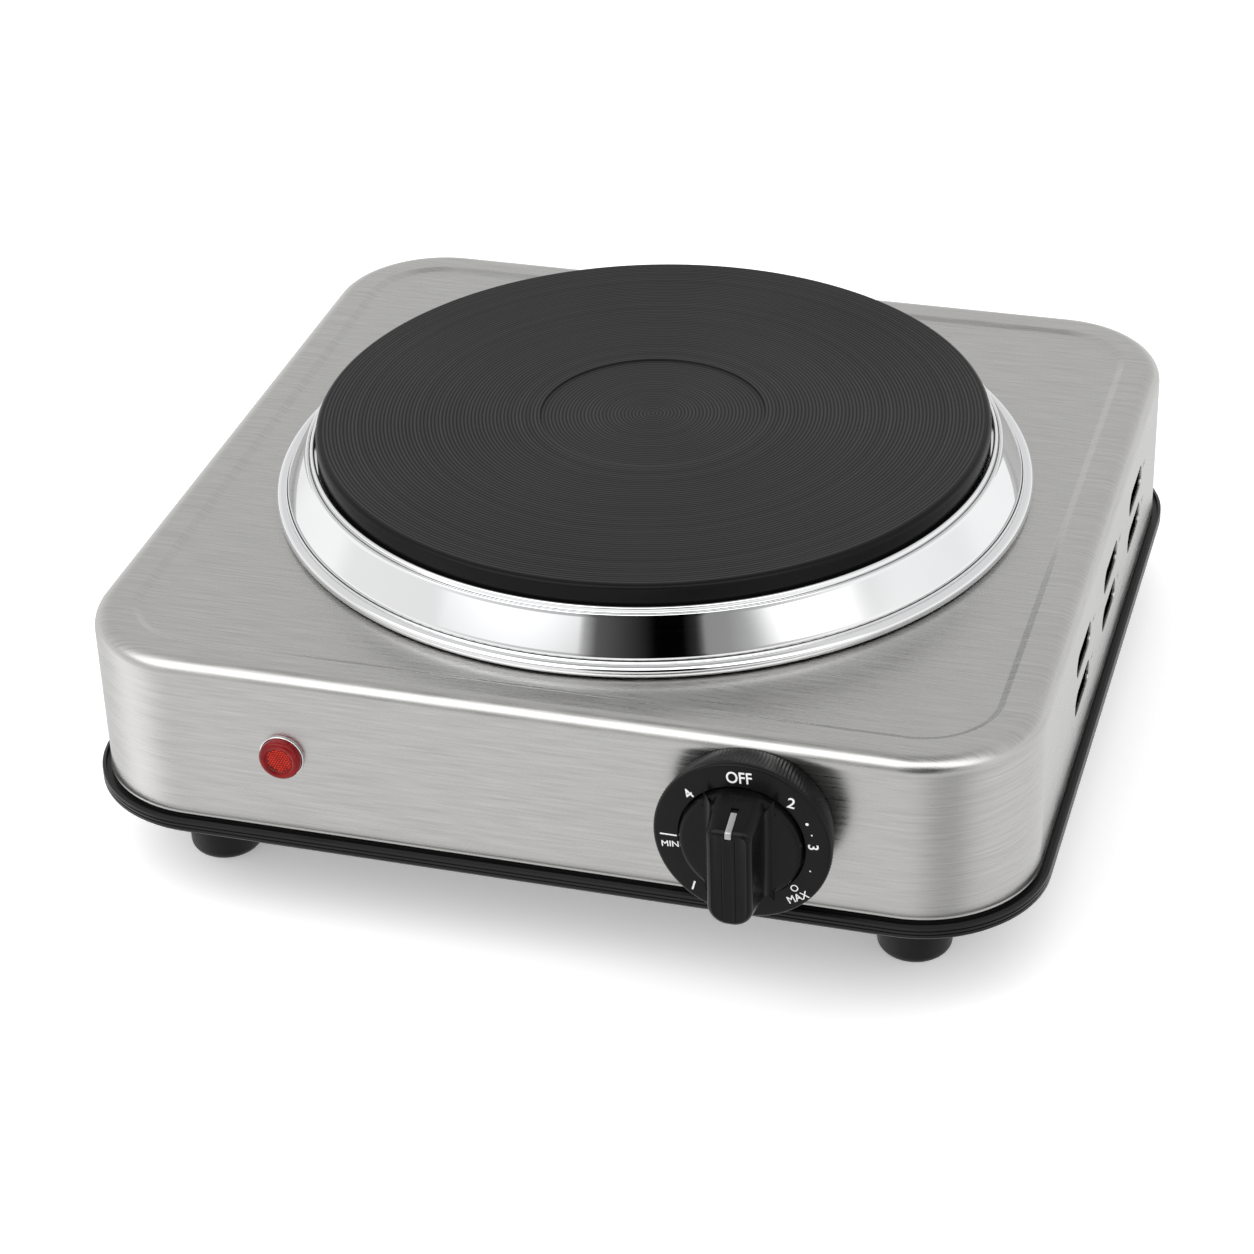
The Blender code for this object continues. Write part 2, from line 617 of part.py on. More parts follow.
def make_feet():
    """Four tapered rubber feet, each held by a sunk screw that reaches a bracket in the body's corner."""
    web_z = FOOT_HEIGHT - FOOT_WEB
    bore = FOOT_SCREW_RADIUS + SCREW_FIT
    sink = FOOT_HEAD_RADIUS + 2 * SCREW_FIT
    toe = FOOT_RADIUS - FOOT_TAPER
    foot_profile = [
        (bore, FOOT_HEIGHT),
        (FOOT_RADIUS, FOOT_HEIGHT),
        (toe, FOOT_ROUND),
        (toe - 0.3 * FOOT_ROUND, 0.3 * FOOT_ROUND),
        (toe - FOOT_ROUND, 0),
        (sink, 0),
        (sink, web_z),
        (bore, web_z),
    ]
    head_z = web_z - TOUCH
    bracket_top = FLOOR_Z + TOUCH + BRACKET_SHEET
    tip_z = bracket_top + 2 * FOOT_SCREW_RADIUS
    screw_profile = [
        (0, tip_z),
        (FOOT_SCREW_RADIUS, tip_z),
        (FOOT_SCREW_RADIUS, head_z),
        (FOOT_HEAD_RADIUS, head_z),
        (FOOT_HEAD_RADIUS, head_z - 0.5 * FOOT_HEAD_HEIGHT),
        (0.6 * FOOT_HEAD_RADIUS, head_z - FOOT_HEAD_HEIGHT),
        (0, head_z - FOOT_HEAD_HEIGHT),
    ]
    for corner, (x, y) in FOOT_PLACES.items():
        turned("foot_" + corner, foot_profile, FOOT_STEPS, RUBBER, (x, y, 0))
        turned("foot_screw_" + corner, screw_profile, SMALL_STEPS, ZINC, (x, y, 0))


def make_corner_brackets():
    """Four bent straps, welded inside the front and rear walls, that the foot screws draw the pan up to."""
    half = BRACKET_SHEET / 2
    inner_radius = CORNER_RADIUS - SHEET
    outer_x = FOOT_X - BRACKET_SHIFT + BRACKET_WIDTH / 2
    past_corner = max(0.0, outer_x - (HALF_WIDTH - CORNER_RADIUS))
    sag = inner_radius - math.sqrt(inner_radius**2 - past_corner**2)
    wall_y = HALF_DEPTH - SHEET - sag - TOUCH - half
    behind_upstand = HALF_DEPTH - UPSTAND_INSET - UPSTAND_WALL - sag - TOUCH - half
    floor_leg = FLOOR_Z + TOUCH + half
    path = [
        (FOOT_Y - BRACKET_TONGUE, floor_leg),
        (behind_upstand, floor_leg),
        (behind_upstand, UPSTAND_TOP_Z + BRACKET_SHEET),
        (wall_y, UPSTAND_TOP_Z + 4 * BRACKET_SHEET),
        (wall_y, BRACKET_TOP_Z),
    ]
    for corner, (x, y) in FOOT_PLACES.items():
        inwards = -math.copysign(BRACKET_SHIFT, x)
        turn_round = 0 if y > 0 else math.pi
        strap = bent_strip(
            "corner_bracket_" + corner,
            path,
            BRACKET_WIDTH,
            BRACKET_SHEET,
            ZINC,
            (x + inwards, 0, 0),
            rotation=(0, 0, turn_round),
        )
        hole = cylinder("bracket_hole", FOOT_SCREW_RADIUS + SCREW_FIT, 6 * BRACKET_SHEET)
        boolean(strap, cutter("bracket_hole", hole, (x, y, floor_leg)))


# ------------------------------------------------------------------------------------------------
# Plate, ring, heater and clamp
# ------------------------------------------------------------------------------------------------


def make_hot_plate():
    """The cast iron plate: a shallow dish in the middle of its top, and a wall and a boss below."""
    bore = STUD_RADIUS + SCREW_FIT
    bore_top = WALL_FOOT_Z + STUD_DEPTH + TOUCH
    ceiling = PLATE_TOP_Z - PLATE_CROWN
    profile = [(0, PLATE_TOP_Z - DISH_DEPTH), (DISH_RADIUS - DISH_DEPTH, PLATE_TOP_Z - DISH_DEPTH)]
    profile += [(DISH_RADIUS, PLATE_TOP_Z)]
    profile += arc((PLATE_RADIUS - PLATE_BEVEL, PLATE_TOP_Z - PLATE_BEVEL), PLATE_BEVEL, 90, 0, 3)
    profile += [
        (PLATE_RADIUS, SEAT_Z),
        (WALL_RADIUS, SEAT_Z),
        (WALL_RADIUS, WALL_FOOT_Z),
        (WALL_RADIUS - WALL, WALL_FOOT_Z),
        (WALL_RADIUS - WALL, ceiling),
        (BOSS_RADIUS, ceiling),
        (BOSS_RADIUS, WALL_FOOT_Z),
        (bore, WALL_FOOT_Z),
        (bore, bore_top),
        (0, bore_top),
    ]
    turned("hot_plate", profile, LARGE_STEPS, IRON)


def make_spill_ring():
    """The chromed ring: it carries the plate's rim on a flange and stands on the deck on a rolled bead."""
    lip = PLATE_RADIUS + RING_GAP
    flange_top = SEAT_Z - TOUCH
    bead = (BEAD_OUTER_RADIUS - BEAD_RADIUS, TRAY_Z + TOUCH + BEAD_RADIUS)
    roll = RING_LIP_ROLL
    profile = [
        (lip, RING_SHOULDER_Z - 0.25 * roll),
        (lip + 0.15 * roll, RING_SHOULDER_Z - 0.05 * roll),
        (lip + 0.45 * roll, RING_SHOULDER_Z),
        (lip + 0.80 * roll, RING_SHOULDER_Z - 0.2 * roll),
        (lip + roll, RING_SHOULDER_Z - 0.55 * roll),
        (RING_FOOT_RADIUS, RING_FOOT_Z),
        (RING_FOOT_RADIUS + 0.4 * BEAD_RADIUS, RING_FOOT_Z - 0.7 * BEAD_RADIUS),
    ]
    profile += arc(bead, BEAD_RADIUS, 80, -90, 6)
    profile += [
        (RING_FOOT_RADIUS + 0.2 * RING_SHEET, bead[1] - BEAD_RADIUS),
        (RING_FOOT_RADIUS - 0.2 * RING_SHEET, RING_FOOT_Z - 1.4 * RING_SHEET),
        (lip + roll - RING_SHEET, RING_SHOULDER_Z - 0.7 * roll),
        (lip + RING_SHEET, RING_SHOULDER_Z - 0.4 * roll),
        (lip + RING_SHEET, flange_top - RING_SHEET),
        (FLANGE_INNER_RADIUS, flange_top - RING_SHEET),
        (FLANGE_INNER_RADIUS, flange_top),
        (lip, flange_top),
    ]
    turned("spill_ring", profile, LARGE_STEPS, CHROME)


def polar(radius, degrees, height):
    """A point at a distance and an angle from the plate's axis."""
    angle = math.radians(degrees)
    return Vector((radius * math.cos(angle), radius * math.sin(angle), height))


def loop(radius, start, end):
    """Points round the plate's axis in the heater's plane, from one angle to another in degrees."""
    count = round(abs(end - start) / 15)
    return [polar(radius, start + (end - start) * i / count, COIL_Z) for i in range(count + 1)]


def u_turn(radius, degrees, way):
    """The bend from one loop of the heater in to the next, which it then follows back the other way."""
    half = COIL_PITCH / 2
    points = []
    for turned_by in (45, 90, 135):
        at = radius - half + half * math.cos(math.radians(turned_by))
        ahead = half * math.sin(math.radians(turned_by))
        points.append(polar(at, degrees + way * math.degrees(ahead / at), COIL_Z))
    return points


def make_heater():
    """A sheathed heater bent in three loops under the plate, its two ends turned down through the cover."""
    pin = PIN_SPACING / 2
    pin_foot = BLOCK_TOP_Z - 0.75 * PLATE_BLOCK[2]
    bend_foot = COVER_Z + TOUCH
    bend = COIL_Z - bend_foot
    middle = COIL_OUTER - COIL_PITCH
    inner = middle - COIL_PITCH
    route = [Vector((pin, PIN_Y, pin_foot)), Vector((pin, PIN_Y, bend_foot))]
    route += [Vector((pin, PIN_Y - 0.3 * bend, COIL_Z - 0.3 * bend)), Vector((pin, PIN_Y - bend, COIL_Z))]
    route += [Vector((1.1 * pin, 0.9 * PIN_Y - 0.2 * COIL_OUTER, COIL_Z))]
    route += loop(COIL_OUTER, -71, 248) + u_turn(COIL_OUTER, 248, 1)
    route += loop(middle, 248, -52) + u_turn(middle, -52, -1)
    route += loop(inner, -52, 236)
    route += [Vector((-pin, PIN_Y + bend, COIL_Z)), Vector((-pin, PIN_Y + 0.3 * bend, COIL_Z - 0.3 * bend))]
    route += [Vector((-pin, PIN_Y, bend_foot)), Vector((-pin, PIN_Y, pin_foot))]
    tube("heating_coil", route, COIL_RADIUS, HEATER)


def make_plate_cover():
    """The thin disc that closes the plate's underside."""
    profile = ring_profile(STUD_RADIUS + SCREW_FIT, COVER_RADIUS, COVER_Z, COVER_Z - SHEET)
    cover = turned("plate_cover", profile, MIDDLE_STEPS, ZINC)
    for side in (-1, 1):
        hole = cylinder("pin_hole", COIL_RADIUS + 2 * RUN_FIT, 8 * SHEET)
        boolean(cover, cutter("pin_hole", hole, (side * PIN_SPACING / 2, PIN_Y, COVER_Z)))


def hex_nut(name, top, radius=NUT_RADIUS, height=NUT_HEIGHT):
    """A hexagon nut on the stud."""
    nut = place(name, cylinder(name, radius, height, 6), ZINC, (0, 0, top - height / 2))
    bore = cylinder(name + "_bore", STUD_RADIUS + SCREW_FIT, 3 * height)
    boolean(nut, cutter(name + "_bore", bore, (0, 0, top - height / 2)))


def make_clamp():
    """The stud from the plate's boss, and the channel, spacer, washer and nut that draw the plate down."""
    stud_top = WALL_FOOT_Z + STUD_DEPTH
    turned("plate_stud", ring_profile(0, STUD_RADIUS, stud_top, STUD_FOOT_Z), SMALL_STEPS, ZINC)
    spacer_top = COVER_Z - SHEET - TOUCH
    spacer = ring_profile(STUD_RADIUS + SCREW_FIT, SPACER_RADIUS, spacer_top, CLAMP_TOP_Z + TOUCH)
    turned("clamp_spacer", spacer, SMALL_STEPS, ZINC)
    half = CLAMP_SHEET / 2
    side = CLAMP_WIDTH / 2 - half
    web = CLAMP_TOP_Z - half
    path = [(-side, web - CLAMP_FLANGE), (-side, web), (side, web), (side, web - CLAMP_FLANGE)]
    channel = bent_strip("clamp_channel", path, 2 * CLAMP_HALF_LENGTH, CLAMP_SHEET, ZINC)
    hole = cylinder("channel_hole", STUD_RADIUS + SCREW_FIT, 8 * CLAMP_SHEET)
    boolean(channel, cutter("channel_hole", hole, (0, 0, web)))
    washer_top = CLAMP_UNDER_Z - TOUCH
    washer = ring_profile(STUD_RADIUS + SCREW_FIT, WASHER_RADIUS, washer_top, washer_top - WASHER_HEIGHT)
    turned("clamp_washer", washer, SMALL_STEPS, ZINC)
    hex_nut("clamp_nut", washer_top - WASHER_HEIGHT - TOUCH)


def make_heat_shield():
    """A dished sheet hung on the stud between two nuts. It keeps the plate's heat off the pan and wires."""
    foot = SHIELD_Z - SHIELD_DROP
    slope_top = SHIELD_RADIUS - SHIELD_SLOPE
    bore = STUD_RADIUS + SCREW_FIT
    profile = [
        (bore, SHIELD_Z + SHEET),
        (slope_top, SHIELD_Z + SHEET),
        (SHIELD_RADIUS, foot + SHEET),
        (SHIELD_RADIUS, foot),
        (slope_top, SHIELD_Z),
        (bore, SHIELD_Z),
    ]
    turned("heat_shield", profile, MIDDLE_STEPS, ZINC)
    hex_nut("shield_nut_upper", SHIELD_Z + SHEET + TOUCH + 0.7 * NUT_HEIGHT, height=0.7 * NUT_HEIGHT)
    hex_nut("shield_nut_lower", SHIELD_Z - TOUCH, height=0.7 * NUT_HEIGHT)


def make_plate_block():
    """The ceramic block on the heater's pins, with a bore for each pin and each wire."""
    centre = (0, PIN_Y, BLOCK_TOP_Z - PLATE_BLOCK[2] / 2)
    block = place("plate_terminal_block", rounded_box("plate_terminal_block", PLATE_BLOCK), CERAMIC, centre)
    edge = block.modifiers.new("edge", "BEVEL")
    edge.width = 0.0008
    edge.segments = 1
    for side in (-1, 1):
        x = side * PIN_SPACING / 2
        pin = cylinder("pin_bore", COIL_RADIUS + RUN_FIT, 2 * PLATE_BLOCK[2])
        boolean(block, cutter("pin_bore", pin, (x, PIN_Y, centre[2])))
        wire = cylinder("wire_bore", WIRE_RADIUS + RUN_FIT, PLATE_BLOCK[1])
        bore_y = PIN_Y - PLATE_BLOCK[1] / 2
        boolean(block, cutter("wire_bore", wire, (x, bore_y, centre[2]), rotation=(math.pi / 2, 0, 0)))


# ------------------------------------------------------------------------------------------------
# Dial, knob and thermostat. Heights are along the knob's axis, from the wall's outer face outwards.
# ------------------------------------------------------------------------------------------------


def make_dial_ring():
    """The fixed dial: a cup moulding with a recess for the hub, a bush for the stem and two bosses."""
    recess = HUB_RADIUS + RUN_FIT
    floor = DIAL_FACE - HUB_RECESS
    under_floor = floor - DIAL_FLOOR
    bush_foot = BUSH_FLANGE / 2
    profile = [(recess, DIAL_FACE)]
    profile += arc((DIAL_RADIUS - DIAL_ROUND, DIAL_FACE - DIAL_ROUND), DIAL_ROUND, 90, 0, 2)
    profile += [
        (DIAL_RADIUS, TOUCH),
        (DIAL_RADIUS - DIAL_WALL, TOUCH),
        (DIAL_RADIUS - DIAL_WALL, under_floor),
        (DIAL_BORE + DIAL_BUSH_WALL, under_floor),
        (DIAL_BORE + DIAL_BUSH_WALL, bush_foot),
        (DIAL_BORE, bush_foot),
        (DIAL_BORE, floor),
        (recess, floor),
    ]
    dial = turned("dial_ring", profile, MIDDLE_STEPS, KNOB_BLACK, parent=KNOB_AXIS)
    boss_height = under_floor + DIAL_FLOOR / 2 - TOUCH
    pilot_length = DIAL_SCREW_LENGTH + TOUCH
    for side in (-1, 1):
        y = side * DIAL_SCREW_Y
        boss = cylinder("dial_boss", 2.6 * DIAL_SCREW_RADIUS, boss_height)
        boolean(dial, cutter("dial_boss", boss, (0, y, TOUCH + boss_height / 2), KNOB_AXIS), "UNION")
        pilot = cylinder("dial_pilot", DIAL_SCREW_RADIUS + SCREW_FIT, 2 * pilot_length)
        boolean(dial, cutter("dial_pilot", pilot, (0, y, 0), KNOB_AXIS))


def d_section(name, radius, flat, foot, top):
    """A round bar along the knob's axis with a flat along one side, as a mesh placed at its real height."""
    bm = bmesh.new()
    bmesh.ops.create_cone(
        bm, cap_ends=True, segments=SMALL_STEPS, radius1=radius, radius2=radius, depth=top - foot
    )
    bmesh.ops.translate(bm, vec=(0, 0, (top + foot) / 2), verts=bm.verts)
    everything = bm.verts[:] + bm.edges[:] + bm.faces[:]
    cut = bmesh.ops.bisect_plane(
        bm, geom=everything, plane_co=(0, flat, 0), plane_no=(0, 1, 0), clear_outer=True
    )
    rim = [e for e in cut["geom_cut"] if isinstance(e, bmesh.types.BMEdge)]
    bmesh.ops.contextual_create(bm, geom=rim)
    return mesh_from(bm, name)


def bar_mesh():
    """The knob's grip: a bar with a leaning upper end, a round lower end and softened edges."""
    foot = DIAL_FACE + TOUCH
    bm = bmesh.new()
    bmesh.ops.create_cube(bm, size=1.0)
    bmesh.ops.scale(bm, vec=(BAR_WIDTH, 2 * BAR_REACH, BAR_FRONT - foot), verts=bm.verts)
    bmesh.ops.translate(bm, vec=(0, 0, (BAR_FRONT + foot) / 2), verts=bm.verts)
    front_top = [v for v in bm.verts if v.co.y > 0 and v.co.z > HUB_FACE]
    bmesh.ops.translate(bm, vec=(0, -BAR_LEAN, 0), verts=front_top)
    bmesh.ops.translate(bm, vec=(0, -BAR_LAP, 0), verts=[v for v in bm.verts if v.co.y < 0])
    lower = [e for e in bm.edges if all(v.co.y < 0 for v in e.verts) and e.verts[0].co.x == e.verts[1].co.x]
    bmesh.ops.bevel(bm, geom=lower, offset=BAR_END_ROUND, segments=5, profile=0.5, affect="EDGES")
    front = [e for e in bm.edges if all(v.co.z > HUB_FACE for v in e.verts)]
    bmesh.ops.bevel(bm, geom=front, offset=BAR_EDGE_ROUND, segments=2, profile=0.5, affect="EDGES")
    return mesh_from(bm, "grip_bar")


def make_knob():
    """The knob: a hub in the dial's recess, a stem on the shaft, and the grip bar with its pointer."""
    socket_top = HUB_FACE - SOCKET_ROOF
    profile = [
        (0, HUB_FACE),
        (HUB_RADIUS - HUB_EDGE, HUB_FACE),
        (HUB_RADIUS, HUB_FACE - HUB_EDGE),
        (HUB_RADIUS, HUB_BACK),
        (STEM_RADIUS, HUB_BACK),
        (STEM_RADIUS, STEM_FOOT),
        (0, STEM_FOOT),
    ]
    knob = turned("control_knob", profile, MIDDLE_STEPS, KNOB_BLACK, parent=KNOB_AXIS)
    boolean(knob, cutter("grip_bar", bar_mesh(), parent=KNOB_AXIS), "UNION")
    fit = RUN_FIT
    flat = SHAFT_RADIUS - SHAFT_FLAT
    socket = d_section("socket", SHAFT_RADIUS + fit, flat + fit, 0, socket_top)
    boolean(knob, cutter("socket", socket, parent=KNOB_AXIS))

    lean = math.atan2(BAR_LEAN, BAR_FRONT - DIAL_FACE - TOUCH)
    end_y = BAR_REACH - POINTER_PLACE * BAR_LEAN
    end_z = DIAL_FACE + TOUCH + POINTER_PLACE * (BAR_PROUD - TOUCH)
    tilt = (lean, 0, 0)
    groove_size = (POINTER_WIDTH + 2 * fit, 2 * (POINTER_DEPTH + fit), POINTER_LENGTH + 2 * fit)
    groove = rounded_box("pointer_groove", groove_size)
    boolean(knob, cutter("pointer_groove", groove, (0, end_y, end_z), KNOB_AXIS, tilt))
    pointer_size = (POINTER_WIDTH, POINTER_DEPTH, POINTER_LENGTH)
    pointer = rounded_box("knob_pointer", pointer_size, POINTER_CORNER, "Y", 2)
    sink = POINTER_DEPTH / 2
    location = (0, end_y - sink * math.cos(lean), end_z - sink * math.sin(lean))
    place("knob_pointer", pointer, SILVER, location, KNOB_AXIS, tilt)

    shaft = d_section("thermostat_shaft", SHAFT_RADIUS, flat, SHAFT_TIP, socket_top - TOUCH)
    place("thermostat_shaft", shaft, BRASS, parent=KNOB_AXIS)


def make_thermostat_mount():
    """The bent plate behind the wall, the bush that the shaft turns in, and the two dial screws."""
    half = MOUNT_SHEET / 2
    middle = MOUNT_FACE - half
    path = [(-MOUNT_LEFT, middle), (MOUNT_RIGHT, middle), (MOUNT_RIGHT, middle - MOUNT_FLANGE)]
    size = 2 * MOUNT_HALF_HEIGHT
    turn_left = (0, 0, -math.pi / 2)
    mount = bent_strip(
        "thermostat_mount", path, size, MOUNT_SHEET, ZINC, parent=KNOB_AXIS, rotation=turn_left
    )
    holes = [
        (0, 0, BUSH_RADIUS + RUN_FIT),
        (0, DIAL_SCREW_Y, DIAL_SCREW_RADIUS + SCREW_FIT),
        (0, -DIAL_SCREW_Y, DIAL_SCREW_RADIUS + SCREW_FIT),
        (-STACK_X, 0, RIVET_RADIUS + SCREW_FIT),
    ]
    for x, y, radius in holes:
        hole = cylinder("mount_hole", radius, 6 * MOUNT_SHEET)
        boolean(mount, cutter("mount_hole", hole, (x, y, middle), KNOB_AXIS))
    bore = SHAFT_RADIUS + RUN_FIT
    flange_face = MOUNT_BACK - TOUCH
    bush = [
        (bore, 0),
        (BUSH_RADIUS, 0),
        (BUSH_RADIUS, flange_face),
        (BUSH_FLANGE_RADIUS, flange_face),
        (BUSH_FLANGE_RADIUS, flange_face - BUSH_FLANGE),
        (BUSH_RADIUS, flange_face - BUSH_FLANGE),
        (BUSH_RADIUS, -BUSH_LENGTH),
        (bore, -BUSH_LENGTH),
    ]
    turned("thermostat_bush", bush, SMALL_STEPS, BRASS, parent=KNOB_AXIS)
    head = MOUNT_BACK - TOUCH
    screw = [
        (0, DIAL_SCREW_LENGTH),
        (DIAL_SCREW_RADIUS, DIAL_SCREW_LENGTH),
        (DIAL_SCREW_RADIUS, head),
        (DIAL_SCREW_HEAD, head),
        (DIAL_SCREW_HEAD, head - DIAL_SCREW_RADIUS),
        (0, head - 1.6 * DIAL_SCREW_RADIUS),
    ]
    for place_name, side in (("upper", 1), ("lower", -1)):
        location = (0, side * DIAL_SCREW_Y, 0)
        turned("dial_screw_" + place_name, screw, SMALL_STEPS, ZINC, location, KNOB_AXIS)


def make_switch_stack():
    """Ceramic spacers and spring blades riveted beside the shaft, whose tip bears on the first blade."""
    level = MOUNT_BACK - TOUCH
    bore = RIVET_RADIUS + SCREW_FIT
    for index, height in enumerate(INSULATORS):
        ring = ring_profile(bore, INSULATOR_RADIUS, level, level - height)
        turned(f"stack_insulator_{index + 1}", ring, SMALL_STEPS, CERAMIC, (-STACK_X, 0, 0), KNOB_AXIS)
        level -= height + TOUCH
        if index == len(BLADES):
            continue
        name, thickness, reach, tab = BLADES[index]
        tail = STACK_X + INSULATOR_RADIUS + tab
        length = tail + reach
        middle = level - thickness / 2
        sheet = rounded_box(name, (length, BLADE_WIDTH, thickness), 0.001, "Z", 2)
        blade = place(name, sheet, BRASS if tab else ZINC, ((reach - tail) / 2, 0, middle), KNOB_AXIS)
        hole = cylinder("blade_hole", bore, 8 * thickness)
        boolean(blade, cutter("blade_hole", hole, (-STACK_X, 0, middle), KNOB_AXIS))
        if index < 2:
            gap = INSULATORS[1] + 2 * TOUCH
            height = (gap - TOUCH) / 2
            away = -1 if index == 0 else 1
            face = middle + away * thickness / 2
            button = cylinder("contact", CONTACT_RADIUS, height + thickness / 2)
            button_z = face + away * (height - thickness / 2) / 2
            boolean(blade, cutter("contact", button, (CONTACT_X, 0, button_z), KNOB_AXIS), "UNION")
        level -= thickness + TOUCH
    rivet = [
        (0, MOUNT_FACE - TOUCH),
        (RIVET_RADIUS, MOUNT_FACE - TOUCH),
        (RIVET_RADIUS, level),
        (RIVET_HEAD, level),
        (RIVET_HEAD, level - RIVET_RADIUS / 2),
        (0, level - RIVET_RADIUS),
    ]
    turned("stack_rivet", rivet, SMALL_STEPS, ZINC, (-STACK_X, 0, 0), KNOB_AXIS)


# ------------------------------------------------------------------------------------------------
# Pilot lamp
# ------------------------------------------------------------------------------------------------


def make_lamp():
    """The red lens with its hollow stem, the bulb in it, the spring clip behind the wall and the end plug."""
    shoulder = LENS_FLANGE + TOUCH
    bore = TUBE_RADIUS - TUBE_WALL
    dome_base = LENS_RADIUS - 0.0008
    lens = [(0, LENS_DOME)]
    for share in (0.35, 0.65, 0.88):
        drop = (LENS_DOME - shoulder) * (1 - math.sqrt(1 - share**2))
        lens.append((share * dome_base, LENS_DOME - drop))
    lens += [
        (dome_base, shoulder + 0.0003),
        (LENS_RADIUS, shoulder - 0.0003),
        (LENS_RADIUS, TOUCH),
        (TUBE_RADIUS, TOUCH),
        (TUBE_RADIUS, -TUBE_LENGTH),
        (bore, -TUBE_LENGTH),
        (bore, shoulder),
        (0, LENS_DOME - TUBE_WALL),
    ]
    turned("lamp_lens", lens, FOOT_STEPS, RED_LENS, parent=LAMP_AXIS)
    bulb_top = shoulder - TOUCH
    bulb_foot = -TUBE_LENGTH + TOUCH
    bulb = arc((0, bulb_top - BULB_RADIUS), BULB_RADIUS, 90, 0, 3)
    bulb[0] = (0, bulb_top)
    bulb += [(BULB_RADIUS, bulb_foot), (0, bulb_foot)]
    turned("lamp_bulb", bulb, SMALL_STEPS, GLASS, parent=LAMP_AXIS)
    clip_top = -SHEET - TOUCH
    clip = [
        (TUBE_RADIUS + RUN_FIT, clip_top - 2 * CLIP_SHEET),
        (CLIP_RADIUS, clip_top),
        (CLIP_RADIUS, clip_top - CLIP_SHEET),
        (TUBE_RADIUS + RUN_FIT, clip_top - 3 * CLIP_SHEET),
    ]
    turned("lamp_clip", clip, SMALL_STEPS, ZINC, parent=LAMP_AXIS)
    plug_top = -TUBE_LENGTH - TOUCH
    plug_foot = plug_top - LAMP_PLUG_LENGTH
    plug = [(0, plug_top), (TUBE_RADIUS, plug_top), (TUBE_RADIUS, plug_foot), (0, plug_foot)]
    turned("lamp_plug", plug, SMALL_STEPS, WIRE_WHITE, parent=LAMP_AXIS)


# ------------------------------------------------------------------------------------------------
# Gland, mains terminals and wiring
# ------------------------------------------------------------------------------------------------


def make_gland():
    """The rubber bush that the cord comes in through, grooved round its hole in the rear wall."""
    groove_out = TOUCH
    groove_in = -SHEET - TOUCH
    profile = [
        (GLAND_BORE, GLAND_PROUD),
        (GLAND_FLANGE - 0.001, GLAND_PROUD),
        (GLAND_FLANGE, GLAND_PROUD - 0.001),
        (GLAND_FLANGE, groove_out),
        (GLAND_NECK, groove_out),
        (GLAND_NECK, groove_in),
        (GLAND_FLANGE, groove_in),
        (GLAND_FLANGE - 0.0005, groove_in - GLAND_LIP),
        (GLAND_BORE, groove_in - GLAND_LIP),
    ]
    turned("cable_gland", profile, FOOT_STEPS, RUBBER, parent=GLAND_AXIS)


def block_way_x(way):
    """Where one way of the mains terminal block lies."""
    return GLAND_X + (way - (BLOCK_WAYS - 1) / 2) * BLOCK_WAY_PITCH


def make_mains_block():
    """The ceramic terminal block on the pan, its screw, and the earth screw beside it."""
    foot = FLOOR_Z + TOUCH
    centre_z = foot + BLOCK_SIZE[2] / 2
    mesh = rounded_box("mains_terminal_block", BLOCK_SIZE, 0.001, "X", 1)
    block = place("mains_terminal_block", mesh, CERAMIC, (GLAND_X, BLOCK_Y, centre_z))
    for way in range(BLOCK_WAYS):
        bore = cylinder("way", BLOCK_WAY_RADIUS, 2 * BLOCK_SIZE[1], 12)
        location = (block_way_x(way), BLOCK_Y, foot + BLOCK_WAY_HEIGHT)
        boolean(block, cutter("way", bore, location, rotation=(math.pi / 2, 0, 0)))
    screw_x = GLAND_X + BLOCK_WAY_PITCH / 2
    hole = cylinder("block_hole", BLOCK_SCREW_RADIUS + SCREW_FIT, 2 * BLOCK_SIZE[2])
    boolean(block, cutter("block_hole", hole, (screw_x, BLOCK_Y, centre_z)))
    head = foot + BLOCK_SIZE[2] + TOUCH
    screws = (
        ("block_screw", screw_x, BLOCK_Y, BLOCK_SCREW_RADIUS, 2 * BLOCK_SCREW_RADIUS, head),
        ("earth_screw", EARTH_X, EARTH_Y, EARTH_SCREW_RADIUS, EARTH_HEAD_RADIUS, FLOOR_Z + TOUCH),
    )
    for name, x, y, radius, head_radius, seat in screws:
        profile = [
            (0, seat + 1.4 * radius),
            (head_radius, seat + radius),
            (head_radius, seat),
            (radius, seat),
            (radius, PAN_UNDER_Z + TOUCH),
            (0, PAN_UNDER_Z + TOUCH),
        ]
        turned(name, profile, SMALL_STEPS, ZINC, (x, y, 0))


def blade_level(index):
    """The middle of one blade of the switch stack, along Y in the body's frame."""
    level = MOUNT_BACK - TOUCH
    for i in range(index + 1):
        level -= INSULATORS[i] + TOUCH
        if i < index:
            level -= BLADES[i][1] + TOUCH
    return -HALF_DEPTH - (level - BLADES[index][1] / 2)


